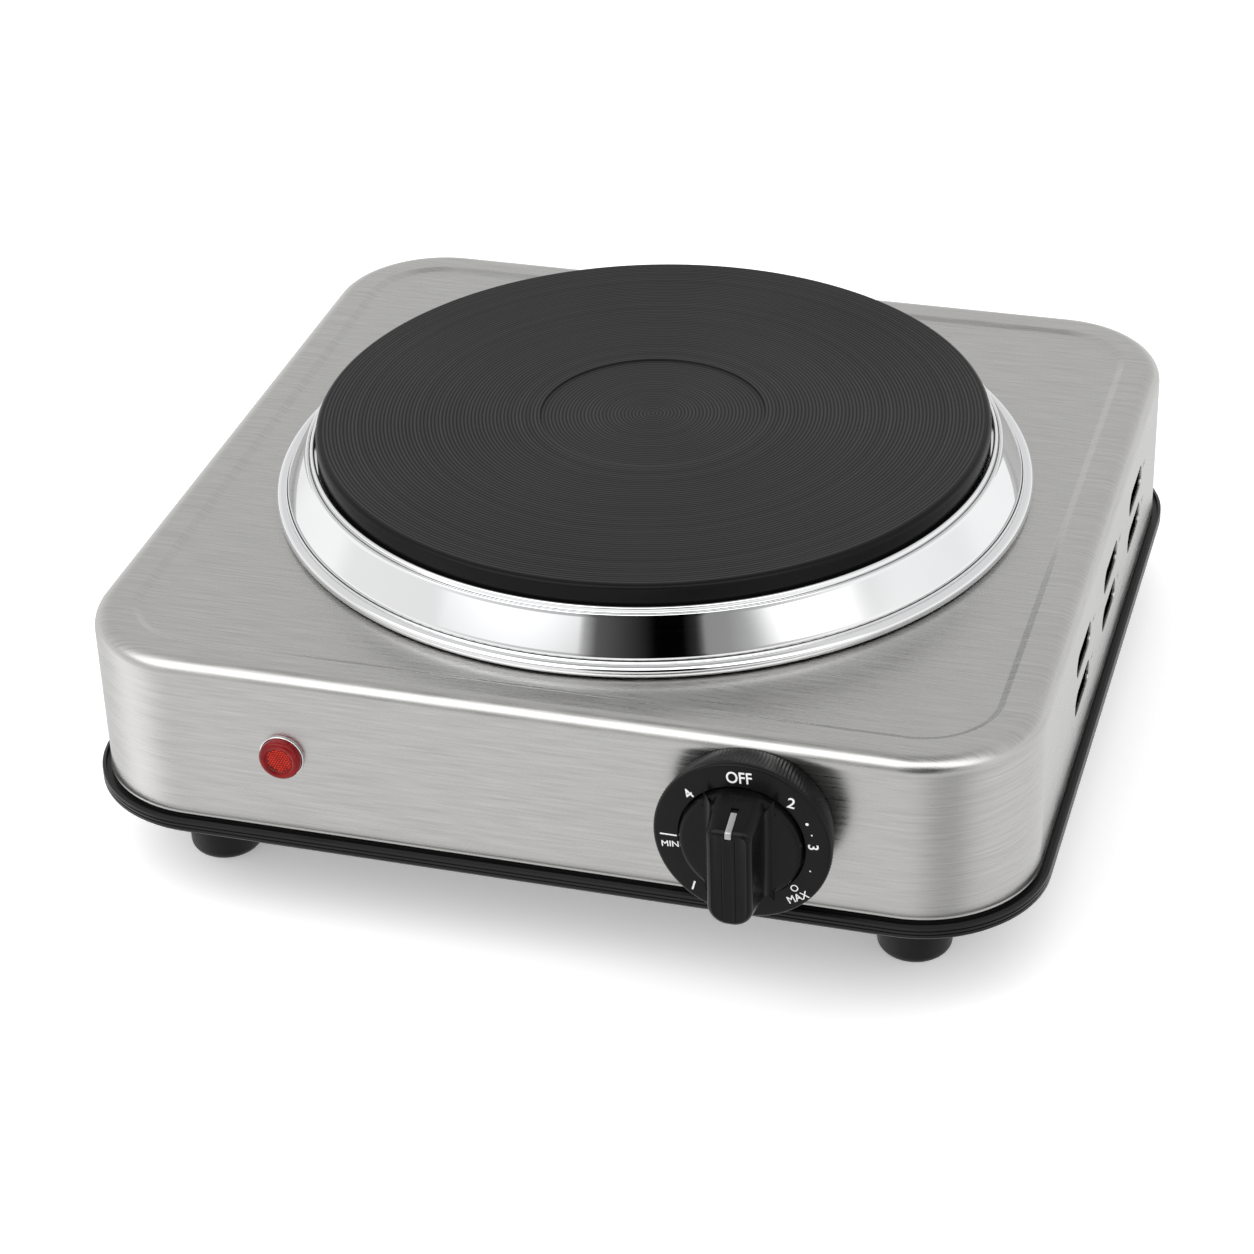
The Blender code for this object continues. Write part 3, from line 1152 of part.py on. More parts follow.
def make_wiring():
    """The thermal fuse under the plate and the insulated wires between the terminals."""
    half = FUSE_LENGTH / 2
    lead = FUSE_RADIUS / 3
    fuse_z = COVER_Z - SHEET - TOUCH - FUSE_RADIUS
    fuse = [
        (0, half + FUSE_LEAD),
        (lead, half + FUSE_LEAD),
        (lead, half),
        (FUSE_RADIUS, half - lead),
        (FUSE_RADIUS, -half + lead),
        (lead, -half),
        (lead, -half - FUSE_LEAD),
        (0, -half - FUSE_LEAD),
    ]
    part = turned("thermal_fuse", fuse, SMALL_STEPS, WIRE_WHITE, (FUSE_X, FUSE_Y, fuse_z))
    part.rotation_euler = (0, math.pi / 2, 0)

    way_z = FLOOR_Z + TOUCH + BLOCK_WAY_HEIGHT
    block_front = BLOCK_Y - BLOCK_SIZE[1] / 2
    in_way = block_front + 0.3 * BLOCK_SIZE[1]
    low = FLOOR_Z + 0.003
    tab_x = KNOB_X - STACK_X - INSULATOR_RADIUS - BLADES[0][3] - TOUCH
    pin_face = PIN_Y - COIL_RADIUS - TOUCH
    bore_z = BLOCK_TOP_Z - PLATE_BLOCK[2] / 2
    fuse_end = half + FUSE_LEAD + TOUCH
    past_shield = SHIELD_RADIUS + 0.012
    lamp_back = -HALF_DEPTH + TUBE_LENGTH + TOUCH + LAMP_PLUG_LENGTH + TOUCH
    routes = {
        "live_wire": (
            WIRE_BROWN,
            WIRE_RADIUS,
            [
                (block_way_x(2), in_way, way_z),
                (block_way_x(2), block_front - 0.008, way_z),
                (GLAND_X - 0.002, block_front - 0.030, low + 0.002),
                (GLAND_X - 0.012, 0.000, low),
                (GLAND_X - 0.026, -0.060, low),
                (KNOB_X - 0.037, blade_level(0) + 0.022, low + 0.007),
                (KNOB_X - 0.045, blade_level(0) + 0.004, KNOB_Z - 0.006),
                (KNOB_X - 0.041, blade_level(0), KNOB_Z),
                (tab_x, blade_level(0), KNOB_Z),
            ],
        ),
        "fuse_wire": (
            WIRE_BROWN,
            WIRE_RADIUS,
            [
                (tab_x, blade_level(1), KNOB_Z),
                (KNOB_X - 0.037, blade_level(1), KNOB_Z + 0.001),
                (KNOB_X - 0.053, blade_level(1) + 0.007, SHIELD_Z + 0.001),
                (-0.012, blade_level(1) + 0.021, SHIELD_Z + 0.004),
                (-0.024, -0.062, SHIELD_Z + 0.006),
                (-0.027, -0.044, SHIELD_Z + 0.012),
                (-0.028, -0.034, fuse_z),
                (FUSE_X + fuse_end + 0.004, FUSE_Y, fuse_z),
                (FUSE_X + fuse_end, FUSE_Y, fuse_z),
            ],
        ),
        "heater_wire": (
            WIRE_WHITE,
            WIRE_RADIUS,
            [
                (FUSE_X - fuse_end, FUSE_Y, fuse_z),
                (FUSE_X - fuse_end - 0.005, FUSE_Y - 0.002, fuse_z - 0.001),
                (-0.062, -0.044, fuse_z - 0.004),
                (-0.045, -0.062, bore_z),
                (-0.020, -0.070, bore_z),
                (-PIN_SPACING / 2, -0.064, bore_z),
                (-PIN_SPACING / 2, pin_face - 0.004, bore_z),
                (-PIN_SPACING / 2, pin_face, bore_z),
            ],
        ),
        "return_wire": (
            WIRE_BLUE,
            WIRE_RADIUS,
            [
                (PIN_SPACING / 2, pin_face, bore_z),
                (PIN_SPACING / 2, pin_face - 0.005, bore_z),
                (0.014, -0.068, bore_z),
                (0.036, -0.080, SHIELD_Z + 0.009),
                polar(past_shield, -51, SHIELD_Z + 0.007),
                polar(past_shield, -32, SHIELD_Z - 0.003),
                polar(past_shield, -12, low + 0.010),
                polar(past_shield - 0.002, 15, low + 0.003),
                (block_way_x(4) + 0.003, block_front - 0.015, way_z),
                (block_way_x(4), block_front - 0.004, way_z),
                (block_way_x(4), in_way, way_z),
            ],
        ),
        "lamp_wire_live": (
            WIRE_WHITE,
            LAMP_WIRE_RADIUS,
            [
                (LAMP_X + 0.002, lamp_back, LAMP_Z),
                (LAMP_X + 0.003, lamp_back + 0.006, LAMP_Z - 0.002),
                (LAMP_X + 0.008, lamp_back + 0.015, low + 0.009),
                (LAMP_X + 0.028, lamp_back + 0.039, low),
                (GLAND_X - 0.054, -0.010, low),
                (GLAND_X - 0.024, block_front - 0.036, low + 0.001),
                (block_way_x(1), block_front - 0.014, way_z - 0.002),
                (block_way_x(1), block_front - 0.003, way_z),
                (block_way_x(1), in_way, way_z),
            ],
        ),
        "lamp_wire_return": (
            WIRE_BLUE,
            LAMP_WIRE_RADIUS,
            [
                (LAMP_X - 0.002, lamp_back, LAMP_Z),
                (LAMP_X - 0.003, lamp_back + 0.006, LAMP_Z - 0.002),
                (LAMP_X - 0.002, lamp_back + 0.017, low + 0.009),
                (LAMP_X + 0.016, lamp_back + 0.045, low),
                (GLAND_X - 0.070, 0.000, low),
                (GLAND_X - 0.038, block_front - 0.030, low + 0.001),
                (block_way_x(0), block_front - 0.012, way_z - 0.001),
                (block_way_x(0), block_front - 0.003, way_z),
                (block_way_x(0), in_way, way_z),
            ],
        ),
        "earth_wire": (
            WIRE_GREEN,
            WIRE_RADIUS,
            [
                (block_way_x(3), in_way, way_z),
                (block_way_x(3), block_front - 0.004, way_z),
                (block_way_x(3) - 0.006, block_front - 0.010, way_z + 0.006),
                (GLAND_X - 0.014, block_front - 0.008, way_z + 0.009),
                (EARTH_X - 0.002, EARTH_Y - 0.022, low + 0.009),
                (EARTH_X - 0.006, EARTH_Y - 0.012, low + 0.001),
                (EARTH_X - 0.0015, EARTH_Y - 0.010, low - 0.0006),
                (EARTH_X, EARTH_Y - EARTH_HEAD_RADIUS - 2 * TOUCH, low - 0.0006),
            ],
        ),
    }
    for name, (material, radius, points) in routes.items():
        tube(name, smooth_route([Vector(p) for p in points], 8 * radius), radius, material)


make_body()
make_base_pan()
make_feet()
make_corner_brackets()
make_hot_plate()
make_spill_ring()
make_heater()
make_plate_cover()
make_clamp()
make_heat_shield()
make_plate_block()
make_dial_ring()
make_knob()
make_thermostat_mount()
make_switch_stack()
make_lamp()
make_gland()
make_mains_block()
make_wiring()
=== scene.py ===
# %% [markdown]
# # A single hot plate burner
#
# The burner is a pressed steel body on a black pan with four rubber feet. A cast iron plate sits in a
# chromed ring on its deck, and a dial, a knob and a red pilot lamp are on its front. Its frame is already
# modelled as plain solids in their real places. This lesson makes the fine surfaces and the finishes round
# that frame: what is turned on a lathe is drawn as half a section and spun, what is pressed or moulded
# starts as a box, and what is printed starts as text.

# %% Load the frame
import json
import math

import bmesh
import bpy
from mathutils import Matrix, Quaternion, Vector

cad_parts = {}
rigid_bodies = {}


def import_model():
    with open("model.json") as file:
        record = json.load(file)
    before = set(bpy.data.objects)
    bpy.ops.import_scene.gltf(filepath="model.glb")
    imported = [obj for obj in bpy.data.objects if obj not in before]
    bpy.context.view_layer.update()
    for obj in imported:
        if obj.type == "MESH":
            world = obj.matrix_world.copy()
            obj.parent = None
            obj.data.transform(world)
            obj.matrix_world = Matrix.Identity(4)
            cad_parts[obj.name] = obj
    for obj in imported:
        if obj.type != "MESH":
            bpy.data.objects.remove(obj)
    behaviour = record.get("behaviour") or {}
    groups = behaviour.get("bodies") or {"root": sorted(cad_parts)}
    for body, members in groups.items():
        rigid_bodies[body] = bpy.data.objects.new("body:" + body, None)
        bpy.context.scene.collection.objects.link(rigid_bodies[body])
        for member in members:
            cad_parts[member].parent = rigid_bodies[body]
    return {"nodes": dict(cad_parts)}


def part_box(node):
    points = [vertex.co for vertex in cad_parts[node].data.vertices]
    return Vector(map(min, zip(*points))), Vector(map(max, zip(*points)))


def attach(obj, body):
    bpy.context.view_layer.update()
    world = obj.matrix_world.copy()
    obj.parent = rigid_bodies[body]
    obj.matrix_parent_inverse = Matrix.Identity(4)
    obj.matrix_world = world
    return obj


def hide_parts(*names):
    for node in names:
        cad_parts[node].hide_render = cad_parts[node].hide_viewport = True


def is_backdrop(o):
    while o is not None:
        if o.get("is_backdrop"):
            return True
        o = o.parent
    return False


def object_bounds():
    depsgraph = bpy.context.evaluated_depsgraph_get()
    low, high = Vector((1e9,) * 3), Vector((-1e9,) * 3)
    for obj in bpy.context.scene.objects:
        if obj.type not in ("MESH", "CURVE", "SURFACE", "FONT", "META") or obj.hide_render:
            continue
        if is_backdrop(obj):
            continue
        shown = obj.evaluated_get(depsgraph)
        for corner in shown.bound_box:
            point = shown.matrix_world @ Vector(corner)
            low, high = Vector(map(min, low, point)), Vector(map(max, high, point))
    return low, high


for leftover in list(bpy.data.objects):  # a new Blender file may hold a cube, a lamp and a camera
    bpy.data.objects.remove(leftover)
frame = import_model()
frame_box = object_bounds()

# %% [markdown]
# ## Sizes
#
# Every size that two pieces share is read from the frame, so that the fine pieces always fit the plain
# ones. The front of the burner faces -Y. The knob, the lamp and the cord gland each have an axis of their
# own through a wall, so their pieces are made round the Z axis at the origin and then turned and carried to
# that axis.

# %% Sizes of the body, the pan and the plate
MM = 0.001
NEAR = 0.02 * MM  # two heights this close are the same height

body_low, body_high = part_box("body_shell")
HALF_WIDTH = body_high.x
HALF_DEPTH = (body_high.y - body_low.y) / 2
BODY_Y = (body_high.y + body_low.y) / 2
FRONT_Y, REAR_Y = body_low.y, body_high.y
SKIRT_Z, DECK_Z = body_low.z, body_high.z
SHEET = 0.8 * MM
CORNER_RADIUS = 31.6 * MM
DECK_FILLET = 5 * MM
STEP_INSET, STEP_RUN, STEP_DROP = 10.5 * MM, 2 * MM, 0.9 * MM
TRAY_Z = DECK_Z - STEP_DROP

pan_low, pan_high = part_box("base_pan")
plate_low, plate_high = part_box("hot_plate")
ring_low, ring_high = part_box("spill_ring")
PLATE_RADIUS = plate_high.x
print(f"body {2 * HALF_WIDTH / MM:.1f} x {2 * HALF_DEPTH / MM:.1f} mm")
print(f"plate {2 * PLATE_RADIUS / MM:.1f} mm across")

# %% Axes through the walls
dial_low, dial_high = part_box("dial_ring")
lens_low, lens_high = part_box("lamp_lens")
gland_low, gland_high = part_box("cable_gland")
knob_low, knob_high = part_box("control_knob")


def middle(low, high, y):
    """A point on the axis through the middle of a box, at one depth."""
    return Vector(((low.x + high.x) / 2, y, (low.z + high.z) / 2))


KNOB_AXIS = middle(dial_low, dial_high, FRONT_Y)
LAMP_AXIS = middle(lens_low, lens_high, FRONT_Y)
GLAND_AXIS = middle(gland_low, gland_high, REAR_Y)
OUT_OF_FRONT = (math.pi / 2, 0, 0)
OUT_OF_REAR = (-math.pi / 2, 0, 0)
DIAL_RADIUS = (dial_high.x - dial_low.x) / 2
DIAL_FACE = FRONT_Y - dial_low.y
KNOB_FRONT = FRONT_Y - knob_low.y
print(f"dial {2 * DIAL_RADIUS / MM:.1f} mm across, its knob {KNOB_FRONT / MM:.1f} mm proud of the wall")

# %% [markdown]
# ## Working by hand, in code
#
# An operator in Blender acts on whatever is selected, so each step first selects what it needs. In edit
# mode a small test picks faces, edges or points by where they are or which way they face, as a person would
# click on them.


# %% Helpers for selecting
def clear_selection():
    """Leaves edit mode and leaves nothing selected."""
    if bpy.context.mode != "OBJECT":
        bpy.ops.object.mode_set(mode="OBJECT")
    bpy.ops.object.select_all(action="DESELECT")


def hold(piece):
    """Makes one piece the selected and active one."""
    clear_selection()
    piece.select_set(True)
    bpy.context.view_layer.objects.active = piece


def edit(piece):
    """Opens a piece in edit mode with nothing in it selected."""
    hold(piece)
    bpy.ops.object.mode_set(mode="EDIT")
    bpy.ops.mesh.select_all(action="DESELECT")


def pick(kind, test):
    """Selects the VERTs, EDGEs or FACEs that pass a test, and says how many there are."""
    bpy.ops.mesh.select_mode(type=kind)
    bpy.ops.mesh.select_all(action="DESELECT")
    mesh = bmesh.from_edit_mesh(bpy.context.object.data)
    parts = {"VERT": mesh.verts, "EDGE": mesh.edges, "FACE": mesh.faces}[kind]
    chosen = [part for part in parts if test(part)]
    for part in chosen:
        part.select_set(True)
    mesh.select_flush_mode()
    bmesh.update_edit_mesh(bpy.context.object.data)
    return len(chosen)


def at_height(height):
    """A test for edges that lie level at one height."""
    return lambda edge: all(abs(v.co.z - height) < NEAR for v in edge.verts)


clear_selection()
print("nothing selected, ready to model")


# %% Helpers for starting and placing a piece
def named(name):
    """Names the primitive that was just added, and moves its place and size into its mesh."""
    piece = bpy.context.active_object
    piece.name = piece.data.name = name
    bpy.ops.object.transform_apply(location=True, rotation=True, scale=True)
    return piece


def add_box(name, centre, size):
    """A box to shape further."""
    clear_selection()
    bpy.ops.mesh.primitive_cube_add(size=1, location=centre, scale=size)
    return named(name)


def add_drum(name, centre, radius, depth, vertices=48, rotation=(0, 0, 0)):
    """A drum to shape further, or to cut with."""
    clear_selection()
    bpy.ops.mesh.primitive_cylinder_add(
        vertices=vertices, radius=radius, depth=depth, location=centre, rotation=rotation
    )
    return named(name)


def carry(piece, place, rotation=(0, 0, 0)):
    """Turns a piece made at the origin, carries it to its place and keeps both in its mesh."""
    hold(piece)
    piece.rotation_euler = rotation
    piece.location = place
    bpy.ops.object.transform_apply(location=True, rotation=True, scale=True)


def apply_modifier(piece, kind, **settings):
    """Adds a modifier with its settings and applies it."""
    hold(piece)
    step = piece.modifiers.new(kind.lower(), kind)
    for key, value in settings.items():
        setattr(step, key, value)
    bpy.ops.object.modifier_apply(modifier=step.name)


def cut(piece, tool, operation="DIFFERENCE"):
    """Cuts a tool out of a piece, or joins it on, and throws the tool away."""
    apply_modifier(piece, "BOOLEAN", object=tool, operation=operation, solver="EXACT")
    bpy.data.objects.remove(tool)


print("boxes, drums, cuts and placing are ready")

# %% [markdown]
# Round pieces are drawn as half a section and spun. A plane merged to one point is the pen: extruding that
# point from corner to corner draws the section in the XZ plane, and Spin turns it about Z. Merging doubles
# closes the seam and the poles, and the normals are recalculated because Spin can leave them pointing in.

# %% Helpers for turned pieces
TURN_STEPS = 192  # round the plate and the ring
SMALL_TURN_STEPS = 96  # round the dial, the knob and the feet


def draw_section(name, points):
    """Draws a section through points of (radius, height), closed unless both ends are on the axis."""
    clear_selection()
    bpy.ops.mesh.primitive_plane_add(size=MM)
    piece = named(name)
    bpy.ops.object.mode_set(mode="EDIT")
    bpy.ops.mesh.select_mode(type="VERT")
    bpy.ops.mesh.select_all(action="SELECT")
    bpy.ops.mesh.merge(type="CENTER")
    corners = [Vector((radius, 0, height)) for radius, height in points]
    bpy.ops.transform.translate(value=corners[0])
    for here, there in zip(corners, corners[1:]):
        bpy.ops.mesh.extrude_vertices_move(TRANSFORM_OT_translate={"value": there - here})
    if corners[0].x > 0:
        pick("VERT", lambda v: min((v.co - corners[0]).length, (v.co - corners[-1]).length) < NEAR / 10)
        bpy.ops.mesh.edge_face_add()
    return piece


def spin_section(piece, steps):
    """Spins the drawn section about Z into a closed solid."""
    bpy.ops.mesh.select_all(action="SELECT")
    bpy.ops.mesh.spin(steps=steps, angle=math.tau, center=(0, 0, 0), axis=(0, 0, 1))
    bpy.ops.mesh.select_all(action="SELECT")
    bpy.ops.mesh.remove_doubles(threshold=NEAR / 20)
    bpy.ops.mesh.normals_make_consistent(inside=False)
    clear_selection()
    return piece


def turned(name, points, steps=SMALL_TURN_STEPS):
    """A solid turned from a section."""
    return spin_section(draw_section(name, points), steps)


def arc(centre, radius, start, end, count):
    """Points of an arc in a section, from one angle to another in degrees."""
    angles = [math.radians(start + (end - start) * i / count) for i in range(count + 1)]
    return [(centre[0] + radius * math.cos(a), centre[1] + radius * math.sin(a)) for a in angles]


print("sections can be drawn and spun")


# %% Helper for finishing a piece
def finish(piece, material, body="burner", stands_for=(), soft_angle=32):
    """Shades a piece, gives it its finish and body, and hides the plain solids that it stands for."""
    hold(piece)
    bpy.ops.object.shade_smooth_by_angle(angle=math.radians(soft_angle))
    if not piece.data.materials:
        piece.data.materials.append(material)
    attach(piece, body)
    if stands_for:
        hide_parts(*stands_for)
    mesh = bmesh.new()
    mesh.from_mesh(piece.data)
    gaps = sum(not edge.is_manifold for edge in mesh.edges)
    volume = mesh.calc_volume() * 1e6
    print(f"{piece.name}: {len(mesh.faces)} faces, {gaps} open edges, volume {volume:.2f} cm3")
    mesh.free()
    clear_selection()
    return piece


print("finish() rides pieces on their bodies")

# %% [markdown]
# ## Building finishes
#
# A finish is a small network of shader nodes. Every pattern reads Object coordinates, which are metres in
# the burner's own frame, so grain and grit have a real size and don't stretch. Patterns that several
# finishes share are node groups that give out a value from 0 to 1, and each finish decides what that value
# does.


# %% Helpers for shader nodes
def add_node(tree, kind, inputs=(), **settings):
    """Adds a shader node, sets it up, and fills its inputs with values or with other nodes' outputs."""
    node = tree.nodes.new(kind if kind == "NodeGroupOutput" else "ShaderNode" + kind)
    for key, value in settings.items():
        setattr(node, key, value)
    for key, value in dict(inputs).items():
        if isinstance(value, bpy.types.NodeSocket):
            tree.links.new(value, node.inputs[key])
        else:
            node.inputs[key].default_value = value
    return node


def new_group(name, inputs, outputs=("Value",)):
    """An empty node group with named inputs (name, socket kind, value) and value outputs."""
    group = bpy.data.node_groups.new(name, "ShaderNodeTree")
    for label, kind, value in inputs:
        socket = group.interface.new_socket(label, in_out="INPUT", socket_type="NodeSocket" + kind)
        socket.default_value = value
    for label in outputs:
        group.interface.new_socket(label, in_out="OUTPUT", socket_type="NodeSocketFloat")
    return group, group.nodes.new("NodeGroupInput").outputs


def use(tree, group, **inputs):
    """Places a node group in a finish."""
    node = add_node(tree, "Group", node_tree=group)
    for key, value in inputs.items():
        label = key.replace("_", " ")
        if isinstance(value, bpy.types.NodeSocket):
            tree.links.new(value, node.inputs[label])
        else:
            node.inputs[label].default_value = value
    return node.outputs[0]


def blend_colours(tree, amount, first, second):
    """A mix of two colours."""
    mix = add_node(tree, "Mix", data_type="RGBA")
    for socket, value in zip((mix.inputs[0], mix.inputs[6], mix.inputs[7]), (amount, first, second)):
        if isinstance(value, bpy.types.NodeSocket):
            tree.links.new(value, socket)
        else:
            socket.default_value = value
    return mix.outputs[2]


def spread(tree, value, low, high, start=0.0, end=1.0, smooth=False):
    """Maps a value that runs from start to end onto a range from low to high."""
    kind = "SMOOTHSTEP" if smooth else "LINEAR"
    inputs = {"Value": value, "From Min": start, "From Max": end, "To Min": low, "To Max": high}
    return add_node(tree, "MapRange", inputs, interpolation_type=kind).outputs[0]


def bumped(tree, height, strength, depth):
    """A normal that follows a height pattern."""
    inputs = {"Height": height, "Strength": strength, "Distance": depth}
    return add_node(tree, "Bump", inputs).outputs[0]


def grey(level):
    """A neutral colour."""
    return (level, level, level, 1)


def centred_on(tree, place, centre):
    """Coordinates moved so that a point of the burner becomes their origin."""
    return add_node(tree, "Mapping", {"Vector": place, "Location": -Vector(centre)}).outputs[0]


def away_from_axis(tree, coordinates):
    """The distance from the Z axis of the coordinates."""
    flat = add_node(tree, "VectorMath", {0: coordinates, 1: (1, 1, 0)}, operation="MULTIPLY")
    return add_node(tree, "VectorMath", {0: flat.outputs[0]}, operation="LENGTH").outputs["Value"]


print("shader helpers ready")

# %% [markdown]
# Four shared patterns follow. Grain is noise squeezed hard in one or two directions, which draws it out
# into fine brush lines. Grit is a fine even noise, the surface of a casting or a spark-eroded mould. Smudge
# is a large soft noise, which keeps a big surface from shining evenly. Rings is noise of the distance from
# an axis, the trace of a lathe tool.


# %% Node groups: grain, grit, smudge and rings
def make_noise_group(name, extra, detail, roughness, low, high):
    """A group round one noise, whose coordinates are scaled by an input before it."""
    group, given = new_group(name, [("Vector", "Vector", (0, 0, 0)), extra])
    operation, socket = ("MULTIPLY", 1) if extra[1] == "Vector" else ("SCALE", "Scale")
    scaled = add_node(group, "VectorMath", {0: given[0], socket: given[1]}, operation=operation)
    settings = {"Vector": scaled.outputs[0], "Scale": 1.0, "Detail": detail, "Roughness": roughness}
    noise = add_node(group, "TexNoise", settings)
    add_node(group, "NodeGroupOutput", {0: spread(group, noise.outputs[0], 0, 1, low, high)})
    return group


lines_input = ("Lines per metre", "Vector", (60, 1200, 60))
GRAIN = make_noise_group("brush_grain", lines_input, 4.0, 0.62, 0.28, 0.72)
GRIT = make_noise_group("grit", ("Grains per metre", "Float", 3000.0), 2.0, 0.5, 0.25, 0.75)
SMUDGE = make_noise_group("smudge", ("Patches per metre", "Float", 18.0), 2.0, 0.5, 0.3, 0.7)


def make_rings_group():
    """A group that gives noise of the distance from the Z axis, in rings."""
    extras = [("Vector", "Vector", (0, 0, 0)), ("Rings per metre", "Float", 600.0)]
    group, given = new_group("tool_rings", extras)
    away = away_from_axis(group, given[0])
    count = add_node(group, "Math", {0: away, 1: given[1]}, operation="MULTIPLY")
    settings = {"W": count.outputs[0], "Scale": 1.0, "Detail": 2.0}
    noise = add_node(group, "TexNoise", settings, noise_dimensions="1D")
    add_node(group, "NodeGroupOutput", {0: spread(group, noise.outputs[0], 0, 1, 0.25, 0.75)})
    return group


RINGS = make_rings_group()
print("groups:", [group.name for group in bpy.data.node_groups])


# %% Helper for a new finish
def new_finish(name, metallic=0.0, **constants):
    """A material with Object coordinates ready, and its even qualities set on the shader itself."""
    material = bpy.data.materials.new(name)
    material.use_nodes = True
    tree = material.node_tree
    shader = tree.nodes["Principled BSDF"]
    shader.inputs["Metallic"].default_value = metallic
    for label, value in constants.items():
        shader.inputs[label.replace("_", " ")].default_value = value
    place = add_node(tree, "TexCoord").outputs["Object"]
    return material, tree, shader, place


def connect(tree, shader, **outputs):
    """Feeds patterns into the shader's Base Color, Roughness, Normal and so on."""
    for label, output in outputs.items():
        tree.links.new(output, shader.inputs[label.replace("_", " ")])


print("finishes can be made")

# %% [markdown]
# ## Brushed steel
#
# The body is stainless sheet brushed before it was pressed: the lines run across the deck from side to
# side, and level round the walls. Two grains are blended by how far the surface faces up. The same grain
# moves the colour and the roughness a little and raises a faint bump, so that highlights break into lines
# as they do on brushed metal.

# %% Finish: brushed steel
steel, tree, shader, place = new_finish("brushed_steel_sheet", metallic=1.0)
facing = add_node(tree, "NewGeometry").outputs["Normal"]
facing_up = add_node(tree, "SeparateXYZ", {0: facing}).outputs["Z"]
on_deck = spread(tree, facing_up, 0, 1, 0.45, 0.75, smooth=True)
deck_grain = use(tree, GRAIN, Vector=place, Lines_per_metre=(55, 1500, 55))
wall_grain = use(tree, GRAIN, Vector=place, Lines_per_metre=(55, 55, 1500))
grain = spread(tree, on_deck, wall_grain, deck_grain)
smudge = use(tree, SMUDGE, Vector=place, Patches_per_metre=14.0)
toned = blend_colours(tree, grain, (0.455, 0.450, 0.443, 1), (0.585, 0.580, 0.573, 1))
connect(tree, shader, Base_Color=toned)
rough = spread(tree, grain, 0.21, 0.33)
rougher = add_node(tree, "Math", {0: smudge, 1: 0.03, 2: rough}, operation="MULTIPLY_ADD").outputs[0]
connect(tree, shader, Roughness=rougher, Normal=bumped(tree, grain, 0.10, 0.1 * MM))
print("steel:", len(tree.nodes), "nodes")

# %% [markdown]
# ## The steel body
#
# The body is one pressing. It could be lofted from outlines, but a box is nearer to how the press works:
# round its upright corners, open its underside, roll its top edge over, then inset the deck and push it
# down a step. Solidify gives the sheet its thickness. The vents and bores are punched last, with tools that
# are copies of one shape.

# %% Body: outer surface
HEM_HEIGHT, HEM_FLARE = 0.9 * MM, 0.32 * MM
body = add_box(
    "steel_body",
    (0, BODY_Y, (DECK_Z + SKIRT_Z + HEM_HEIGHT) / 2),
    (2 * HALF_WIDTH, 2 * HALF_DEPTH, DECK_Z - SKIRT_Z - HEM_HEIGHT),
)
edit(body)
pick("EDGE", lambda e: abs(e.verts[0].co.z - e.verts[1].co.z) > DECK_FILLET)
bpy.ops.mesh.bevel(offset=CORNER_RADIUS, segments=24, profile=0.5, affect="EDGES")
pick("FACE", lambda f: f.normal.z < -0.9)
bpy.ops.mesh.delete(type="ONLY_FACE")
pick("EDGE", at_height(DECK_Z))
bpy.ops.mesh.bevel(offset=DECK_FILLET, segments=8, profile=0.5, affect="EDGES")
pick("EDGE", at_height(SKIRT_Z + HEM_HEIGHT))
bpy.ops.mesh.extrude_edges_move(TRANSFORM_OT_translate={"value": (0, 0, -HEM_HEIGHT)})
hem_size = (1 + HEM_FLARE / HALF_WIDTH, 1 + HEM_FLARE / HALF_DEPTH, 1)
bpy.ops.transform.resize(value=hem_size, center_override=(0, BODY_Y, 0))
pick("FACE", lambda f: f.normal.z > 0.999 and f.calc_area() > HALF_WIDTH * HALF_DEPTH)
bpy.ops.mesh.inset(thickness=STEP_INSET - DECK_FILLET, use_even_offset=True)
bpy.ops.mesh.inset(thickness=STEP_RUN, depth=-STEP_DROP, use_even_offset=True)
print("outer surface:", len(bpy.context.object.data.vertices), "points before the step is softened")

# %% Body: soften the step round the deck
STEP_ROUND = 0.28 * MM


def from_side(co):
    """How far a point lies in from the body's outline, seen from above."""
    across = HALF_WIDTH - abs(co.x)
    along = HALF_DEPTH - abs(co.y - BODY_Y)
    if across < CORNER_RADIUS and along < CORNER_RADIUS:
        return CORNER_RADIUS - math.hypot(CORNER_RADIUS - across, CORNER_RADIUS - along)
    return min(across, along)


def on_step(edge):
    """Whether an edge runs along the top or the foot of the step."""
    level = abs(edge.verts[0].co.z - edge.verts[1].co.z) < NEAR
    depth = [from_side(v.co) for v in edge.verts]
    along_top = all(abs(d - STEP_INSET) < 10 * NEAR for d in depth)
    along_foot = all(abs(d - STEP_INSET - STEP_RUN) < 10 * NEAR for d in depth)
    return level and (along_top or along_foot)


print(pick("EDGE", on_step), "edges along the step")
bpy.ops.mesh.bevel(offset=STEP_ROUND, segments=3, profile=0.5, affect="EDGES")
clear_selection()
apply_modifier(body, "SOLIDIFY", thickness=SHEET, offset=-1, use_even_offset=True)
print("sheet thickness", SHEET / MM, "mm")

